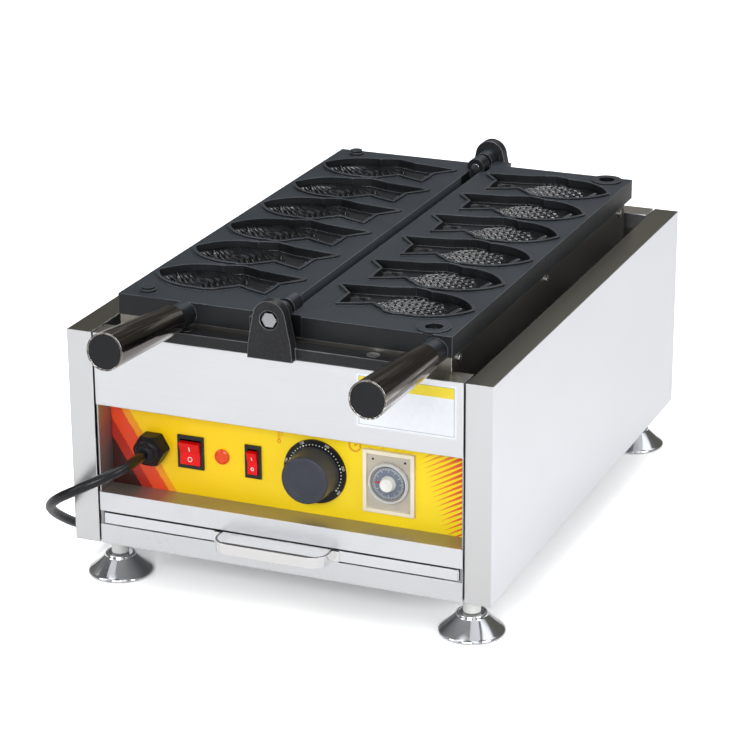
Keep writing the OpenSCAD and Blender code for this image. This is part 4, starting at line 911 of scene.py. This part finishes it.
def temperatureKnob(s):
    # A tapered drum turned round its shaft, with a rounded shoulder and a shallow dish in its face
    shoulder = roundCorner((s["narrow"] - s["round"], s["height"] - s["round"]), s["round"], 0, 90, 8)
    dish = [(0.0165, s["height"]), (0.0155, s["height"] - 0.0004), (0.0145, s["height"] - 0.0009),
            (0.008, s["height"] - 0.0011), (0.003, s["height"] - 0.0011), (0, s["height"] - 0.0011)]
    foot = [(0, 0), (s["wide"] - 0.0008, 0), (s["wide"], 0.0008), (s["wide"] - 0.0006, 0.004)]
    profile = np.concatenate([foot, shoulder, dish])
    return turnedPiece("temperatureKnobTurned", profile, atPanel(s["x"], out=s["base"]), 96)


knobGrey = mouldedMaterial("knobGrey", "3b3e48", 0.33, edge=0.0008, depth=0.12)
knob = paint(temperatureKnob(knobSet), knobGrey, "temperature_knob")
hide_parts("temperature_knob")

dialSet = {
    "x": 0.027, "thick": 0.002, "dotRadius": 0.0251, "small": 0.00058, "big": 0.00085,
    "start": 216, "end": -36, "steps": 35, "numbers": [50, 100, 150, 200, 250, 300],
    "numberRadius": 0.0279, "numberSize": 0.0030,
}


def dialDots(s):
    # Dots on an arc over the top of the dial, every seventh one bigger
    made = []
    for i, a in enumerate(np.radians(np.linspace(s["start"], s["end"], s["steps"] + 1))):
        middle = (s["dotRadius"] * math.cos(a), s["dotRadius"] * math.sin(a))
        size = s["big"] if i % 7 == 0 else s["small"]
        made.append(printed(circleOutline(size, middle, 10), atPanel(s["x"], out=s["thick"]), 0.00008))
    return makeObject("dialDots", *joinParts(made), smooth=False)


def dialNumbers(s):
    # Each number is made a mesh first, then set upright round the arc
    made = []
    for i, number in enumerate(s["numbers"]):
        a = math.radians(s["start"] + (s["end"] - s["start"]) * i / (len(s["numbers"]) - 1))
        words = bpy.data.curves.new("number", "FONT")
        words.body = str(number)
        words.size = s["numberSize"]
        words.align_x, words.align_y = "CENTER", "CENTER"
        words.extrude = 0.00004
        words.resolution_u = 3
        holder = putInScene("number", words)
        mesh = bpy.data.meshes.new_from_object(holder.evaluated_get(bpy.context.evaluated_depsgraph_get()))
        co = np.zeros(len(mesh.vertices) * 3)
        mesh.vertices.foreach_get("co", co)
        co = co.reshape(-1, 3)
        spin = a - math.pi / 2
        flat = np.stack([co[:, 0] * math.cos(spin) - co[:, 1] * math.sin(spin),
                         co[:, 0] * math.sin(spin) + co[:, 1] * math.cos(spin)], -1)
        flat += s["numberRadius"] * np.array([math.cos(a), math.sin(a)])
        placed = np.stack([s["x"] + flat[:, 0], panelY - s["thick"] - 0.00006 - co[:, 2], controlZ + flat[:, 1]], -1)
        made.append((placed, [list(p.vertices) for p in mesh.polygons]))
        bpy.data.objects.remove(holder)
        bpy.data.meshes.remove(mesh)
    return makeObject("dialNumbers", *joinParts(made), smooth=False)


paint(dialDots(dialSet), whiteInk, "casing")
paint(dialNumbers(dialSet), whiteInk, "casing")

lampSet = {"x": -0.063, "rim": 0.007, "lens": 0.0056, "rimHigh": 0.0018, "dome": 0.0024}


def lampPieces(s):
    # A dark rim and an amber dome, both turned round the lamp's middle
    centre = atPanel(s["x"])
    rim = [(0, 0.0001), (s["rim"] - 0.0001, 0.0001), (s["rim"], 0.0006), (s["rim"] - 0.0004, 0.0014),
           (s["rim"] - 0.001, s["rimHigh"]), (s["lens"], 0.0012), (0, 0.0011)]
    t = np.linspace(0, np.pi / 2, 8)
    dome = np.stack([s["lens"] * np.cos(t), 0.0008 + (s["dome"] - 0.0008) * np.sin(t)], -1)
    dome = np.concatenate([[(0, 0.0004), (s["lens"], 0.0004)], dome])
    return turnedPiece("lampRim", rim, centre, 48), turnedPiece("lampDome", dome, centre, 48)


lampRim, lampDome = lampPieces(lampSet)
paint(lampRim, mouldedMaterial("lampRimPlastic", "8c3a22", 0.35), "casing")
paint(lampDome, bpy.data.materials["lampLens"], "casing")

rockerSet = {"half": 0.0113, "pivot": 0.0016, "turn": 8.0, "lift": 0.00012}


def rockerPoint(x, along, s):
    # Place and directions on the rocker's front: along is the distance up from its middle crease
    high = s["half"] - 0.0006
    sign = 1 if along > 0 else -1
    slope = np.array([-0.002, sign * high])
    slope = slope / np.linalg.norm(slope) * sign
    y, z = -0.0046 + slope[0] * along, slope[1] * along
    t = math.radians(s["turn"])
    turned = lambda a, b: np.array([0, a * math.cos(t) - b * math.sin(t), a * math.sin(t) + b * math.cos(t)])
    place = np.array([x, panelY + s["pivot"], controlZ]) + turned(y, z)
    return place, np.array([1.0, 0, 0]), turned(slope[0], slope[1])


def rockerMarks(name, x, size, s):
    # A bar above the crease and a ring below it
    place, right, up = rockerPoint(x, 0.0048, s)
    bar = flatPrint(boxOutline(-0.00045, -size, 0.00045, size, 0.0002), place, right, up, s["lift"])
    place, right, up = rockerPoint(x, -0.0055, s)
    ring = flatRing(size, 0.0006, place, right, up, s["lift"])
    return makeObject(name, *joinParts([bar, ring]), smooth=False)


paint(rockerMarks("powerRockerMarks", -0.0935, 0.0023, rockerSet), whiteInk, "power_rocker")
paint(rockerMarks("alarmRockerMarks", -0.0325, 0.0016, rockerSet), whiteInk, "alarm_rocker")

timerSet = {"x": 0.097, "face": 0.0015, "disc": 0.0035, "discRadius": 0.015, "hubTop": 0.0095}


def timerMarks(s):
    # Minute lines round the turning disc, longer at every fifth
    made = []
    for i in range(60):
        a = 2 * math.pi * i / 60
        right = np.array([-math.sin(a), 0, math.cos(a)])
        up = np.array([math.cos(a), 0, math.sin(a)])
        inner = 0.0105 if i % 5 == 0 else 0.0125
        outline = boxOutline(-0.00016, inner, 0.00016, 0.0143)
        made.append(flatPrint(outline, atPanel(s["x"], out=s["disc"]), right, up, -0.00008))
    return makeObject("timerMinuteLines", *joinParts(made), smooth=False)


def timerHub(s):
    # A waisted finger knob: a drum with a rounded top and a shallow dimple
    top = s["hubTop"]
    profile = [(0, s["disc"]), (0.0073, s["disc"]), (0.0071, s["disc"] + 0.0008), (0.0064, s["disc"] + 0.0018),
               (0.0062, top - 0.0012), (0.0060, top - 0.0005), (0.0055, top - 0.0001), (0.0048, top),
               (0.0040, top - 0.0003), (0.0030, top - 0.0008), (0, top - 0.001)]
    return turnedPiece("timerHub", profile, atPanel(s["x"]), 48)


def timerDisc(s):
    # The turning scale: a thin disc with a rounded edge
    r = s["discRadius"]
    profile = [(0, 0.0021), (r - 0.0002, 0.0021), (r, 0.0024), (r, 0.0032), (r - 0.0003, s["disc"]), (0, s["disc"])]
    return turnedPiece("timerDisc", profile, atPanel(s["x"]), 64)


hubWhite = mouldedMaterial("hubWhite", "ecebe6", 0.35)
discGrey = mouldedMaterial("discGrey", "757d8d", 0.4)
timerPieces = [(timerDisc(timerSet), discGrey), (timerHub(timerSet), hubWhite), (timerMarks(timerSet), whiteInk)]
for piece, material in timerPieces:
    paint(piece, material, "timer_knob")
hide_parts("timer_knob")
pointer = printed([(-0.0135, 0), (-0.008, 0.0011), (-0.008, -0.0011)],
                  atPanel(timerSet["x"], out=timerSet["disc"] + 0.0001), 0.00012)
paint(makeObject("timerPointer", *pointer, smooth=False), redInk, "timer_knob")


def timerRing(s):
    # A clear ring with a rounded crown that stands round the disc
    profile = np.array([(0.0163, 0.0), (0.0190, 0.0), (0.0189, 0.0022), (0.0185, 0.0038), (0.0179, 0.0046),
                        (0.0173, 0.0049), (0.0168, 0.0046), (0.0164, 0.0036)])
    return makeObject("timerWindowRing", *turnedRing(profile, atPanel(s["x"], out=s["face"]), (0, -1, 0), 96))


timerClear = paint(timerRing(timerSet), bpy.data.materials["timerWindow"], "casing")
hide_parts("timer_window")


def timerFaceplate(s):
    # The grey-beige card that fills the stepped frame round the window, with a dot in each upper corner
    card = printed(boxOutline(-0.0202, -0.0252, 0.0202, 0.0252, 0.001), atPanel(s["x"], out=s["face"]), 0.00015)
    place = atPanel(s["x"], out=s["face"] + 0.00015)
    dots = [printed(circleOutline(0.0011, (sign * 0.0150, 0.0205), 16), place, 0.0001) for sign in (-1, 1)]
    return makeObject("timerCard", *card, smooth=False), makeObject("timerDots", *joinParts(dots), smooth=False)


timerCard, timerDots = timerFaceplate(timerSet)
paint(timerCard, mouldedMaterial("cardBeige", "c3bcae", 0.45), "casing")
paint(timerDots, blackInk, "casing")

iconSet = {
    "lift": 0.0001, "thermometer": (-0.0075, 0.0275), "clock": (0.0645, 0.0295), "radius": 0.0058,
    "hands": [[(-0.0003, 0), (0.0003, -0.0003), (0.0026, 0.0017), (0.0022, 0.0021)],
              [(-0.0003, 0.0002), (-0.0003, -0.0003), (0.0003, -0.0003), (0.0002, 0.0030), (-0.0001, 0.0030)]],
}


def panelIcons(s):
    # A thermometer outline with its bulb, and a clock face with two hands
    made = []
    x, z = s["thermometer"]
    made += [flatRing(r, w, atPanel(x, z + rise), panelRight, panelUp, s["lift"], 0, turn, sides)
             for r, w, rise, turn, sides in ((0.0017, 0.0006, -0.0045, 360, 40), (0.0011, 0.0005, 0.0062, 180, 12))]
    made += [printed(boxOutline(*corners), atPanel(x, z), s["lift"])
             for corners in ((-0.0011, -0.0030, -0.0006, 0.0062), (0.0006, -0.0030, 0.0011, 0.0062),
                             (0.0022, 0.0012, 0.0040, 0.0017), (0.0022, 0.0034, 0.0040, 0.0039))]
    x, z = s["clock"]
    made += [flatRing(s["radius"] - inset, width, atPanel(x, z), panelRight, panelUp, s["lift"])
             for inset, width in ((0, 0.0006), (0.0012, 0.0003))]
    made += [printed(hand, atPanel(x, z), s["lift"]) for hand in s["hands"]]
    return makeObject("panelIcons", *joinParts(made), smooth=False)


paint(panelIcons(iconSet), orangeInk, "casing")
print("controls made")

# Blank card on the upper front
cardSet = {"x0": 0.077, "x1": 0.168, "z0": 0.1945, "z1": 0.2425, "header": 0.0095}


def blankCard(s):
    # A thin sheet with round corners
    outline = boxOutline(s["x0"], s["z0"], s["x1"], s["z1"], 0.0015)
    return makeObject("blankCard", *printed(outline, (0, coverLow.y, 0), 0.0002), smooth=False)


def cardMaterial(s):
    # White coated paper with a yellow head strip and a thin grey frame line
    mat, tree = startMaterial("cardPaper", Roughness=0.35)
    x, _, z = parts(tree, coords(tree))
    head = sums(tree, "GREATER_THAN", z, s["z1"] - 0.0025 - s["header"])
    inset = 0.0022
    gaps = [sums(tree, "SUBTRACT", *pair) for pair in ((x, s["x0"] + inset), (s["x1"] - inset, x),
                                                       (z, s["z0"] + inset), (s["z1"] - inset, z))]
    inside = sums(tree, "MINIMUM", sums(tree, "MINIMUM", *gaps[:2]), sums(tree, "MINIMUM", *gaps[2:]))
    line = within(tree, inside, 0.00022)
    inner = sums(tree, "GREATER_THAN", inside, 0.0)
    fibre = noise(tree, coords(tree), 220, 3)
    white = blendColor(tree, fibre, tint("f2f5fa"), tint("e4e9f1"))
    yellow = blendColor(tree, fibre, tint("f4df34"), tint("ecd22a"))
    base = blendColor(tree, sums(tree, "MULTIPLY", head, inner), white, yellow)
    return finishMaterial(mat, blendColor(tree, line, base, tint("8f969c")))


paint(blankCard(cardSet), cardMaterial(cardSet), "casing")
print("card made")

# Floor, light and air of the studio
stageSet = {
    "floorSize": 14.0, "floorColor": 0.82, "seenColor": 1.75, "floorGlow": 0.04, "floorSheen": 0.05,
    "ambient": 0.37, "wall": (0.16, 0.16, 0.16), "farWall": (0.11, 0.107, 0.098), "ceiling": (1.15, 1.17, 1.22),
    "dimCeiling": (0.12, 0.125, 0.14), "wallTop": 0.50, "wallEnd": 0.80, "panels": 0.85, "panelCount": 5.0,
}


def evenGrey(value):
    return (value,) * 3 + (1,)


def eyeRays(tree, rays):
    # One for rays that come straight from the camera or through something clear
    return sums(tree, "MAXIMUM", rays["Is Camera Ray"], rays["Is Transmission Ray"])


def studioFloor(s):
    # A plain white floor: paler and faintly lit for the eye and in reflections, so that it is white where
    # nothing shades it and keeps its shadows
    half = s["floorSize"] / 2
    corners = [(-half, -half, 0), (half, -half, 0), (half, half, 0), (-half, half, 0)]
    floor = makeObject("studioFloor", corners, [[0, 1, 2, 3]], smooth=False, outward=False)
    mat = bpy.data.materials.new("floorPaper")
    mat.use_nodes = True
    tree = mat.node_tree
    tree.nodes.clear()
    rays = putNode(tree, "LightPath").outputs
    color = blendColor(tree, rays["Is Camera Ray"], evenGrey(s["floorColor"]), evenGrey(s["seenColor"]))
    sheen = sums(tree, "MULTIPLY", rays["Is Glossy Ray"], s["floorSheen"])
    matte = putNode(tree, "BsdfDiffuse", Color=color).outputs[0]
    glow = putNode(tree, "Emission", Strength=sums(tree, "MULTIPLY_ADD", eyeRays(tree, rays), s["floorGlow"], sheen))
    both = putNode(tree, "AddShader", matte, glow.outputs[0]).outputs[0]
    putNode(tree, "OutputMaterial", Surface=both)
    floor.data.materials.append(mat)


def studioAir(s):
    # The room: white to the eye and an even soft light on matt surfaces. Shiny surfaces see a dim wall,
    # darker behind the object, with tall pale screens spaced round it, and a ceiling in dim and bright wedges
    world = bpy.data.worlds.new("studioAir")
    bpy.context.scene.world = world
    world.use_nodes = True
    tree = world.node_tree
    tree.nodes.clear()
    rays = putNode(tree, "LightPath").outputs
    x, y, z = parts(tree, putNode(tree, "TexCoord").outputs["Generated"])
    wall = blendColor(tree, spread(tree, y, 0.2, 0.8), s["wall"] + (1,), s["farWall"] + (1,))
    angle = sums(tree, "ARCTAN2", x, y)
    turns = sums(tree, "COSINE", sums(tree, "MULTIPLY", angle, s["panelCount"]))
    screens = sums(tree, "MULTIPLY", spread(tree, turns, 0.55, 0.9), spread(tree, y, 0.25, -0.1))
    screens = sums(tree, "MULTIPLY", screens, s["panels"])
    wall = blendColor(tree, screens, wall, (1, 1, 1, 1))
    ceiling = blendColor(tree, spread(tree, turns, -0.35, 0.35), s["dimCeiling"] + (1,), s["ceiling"] + (1,))
    room = blendColor(tree, spread(tree, z, s["wallTop"], s["wallEnd"]), wall, ceiling)
    light = blendColor(tree, rays["Is Glossy Ray"], evenGrey(s["ambient"]), room)
    color = blendColor(tree, eyeRays(tree, rays), light, evenGrey(1))
    putNode(tree, "OutputWorld", Surface=putNode(tree, "Background", Color=color).outputs[0])


def softLamp(name, spot, aim, size, power):
    data = bpy.data.lights.new(name, "AREA")
    data.shape = "RECTANGLE"
    data.size, data.size_y = size
    data.energy = power
    lamp = putInScene(name, data)
    lamp.location = spot
    lamp.rotation_mode = "QUATERNION"
    lamp.rotation_quaternion = (Vector(aim) - Vector(spot)).to_track_quat("-Z", "Y")


studioFloor(stageSet)
studioAir(stageSet)
softLamp("overheadSoftbox", (-0.2, 0.2, 2.6), (0, 0, 0.2), (1.6, 0.7), 15)
softLamp("backStrip", (0.1, 1.9, 2.3), (0, 0, 0.25), (1.5, 0.3), 14)
softLamp("leftSoftbox", (-2.2, -1.9, 1.5), (0, 0, 0.2), (0.7, 1.2), 13)
softLamp("frontFill", (0.3, -2.9, 1.45), (0, -0.2, 0.14), (1.6, 1.0), 42)
softLamp("rightSoftbox", (2.6, -0.9, 1.6), (0, 0, 0.2), (1.2, 1.4), 32)
bpy.context.scene.view_settings.view_transform = "Standard"
print("studio set")
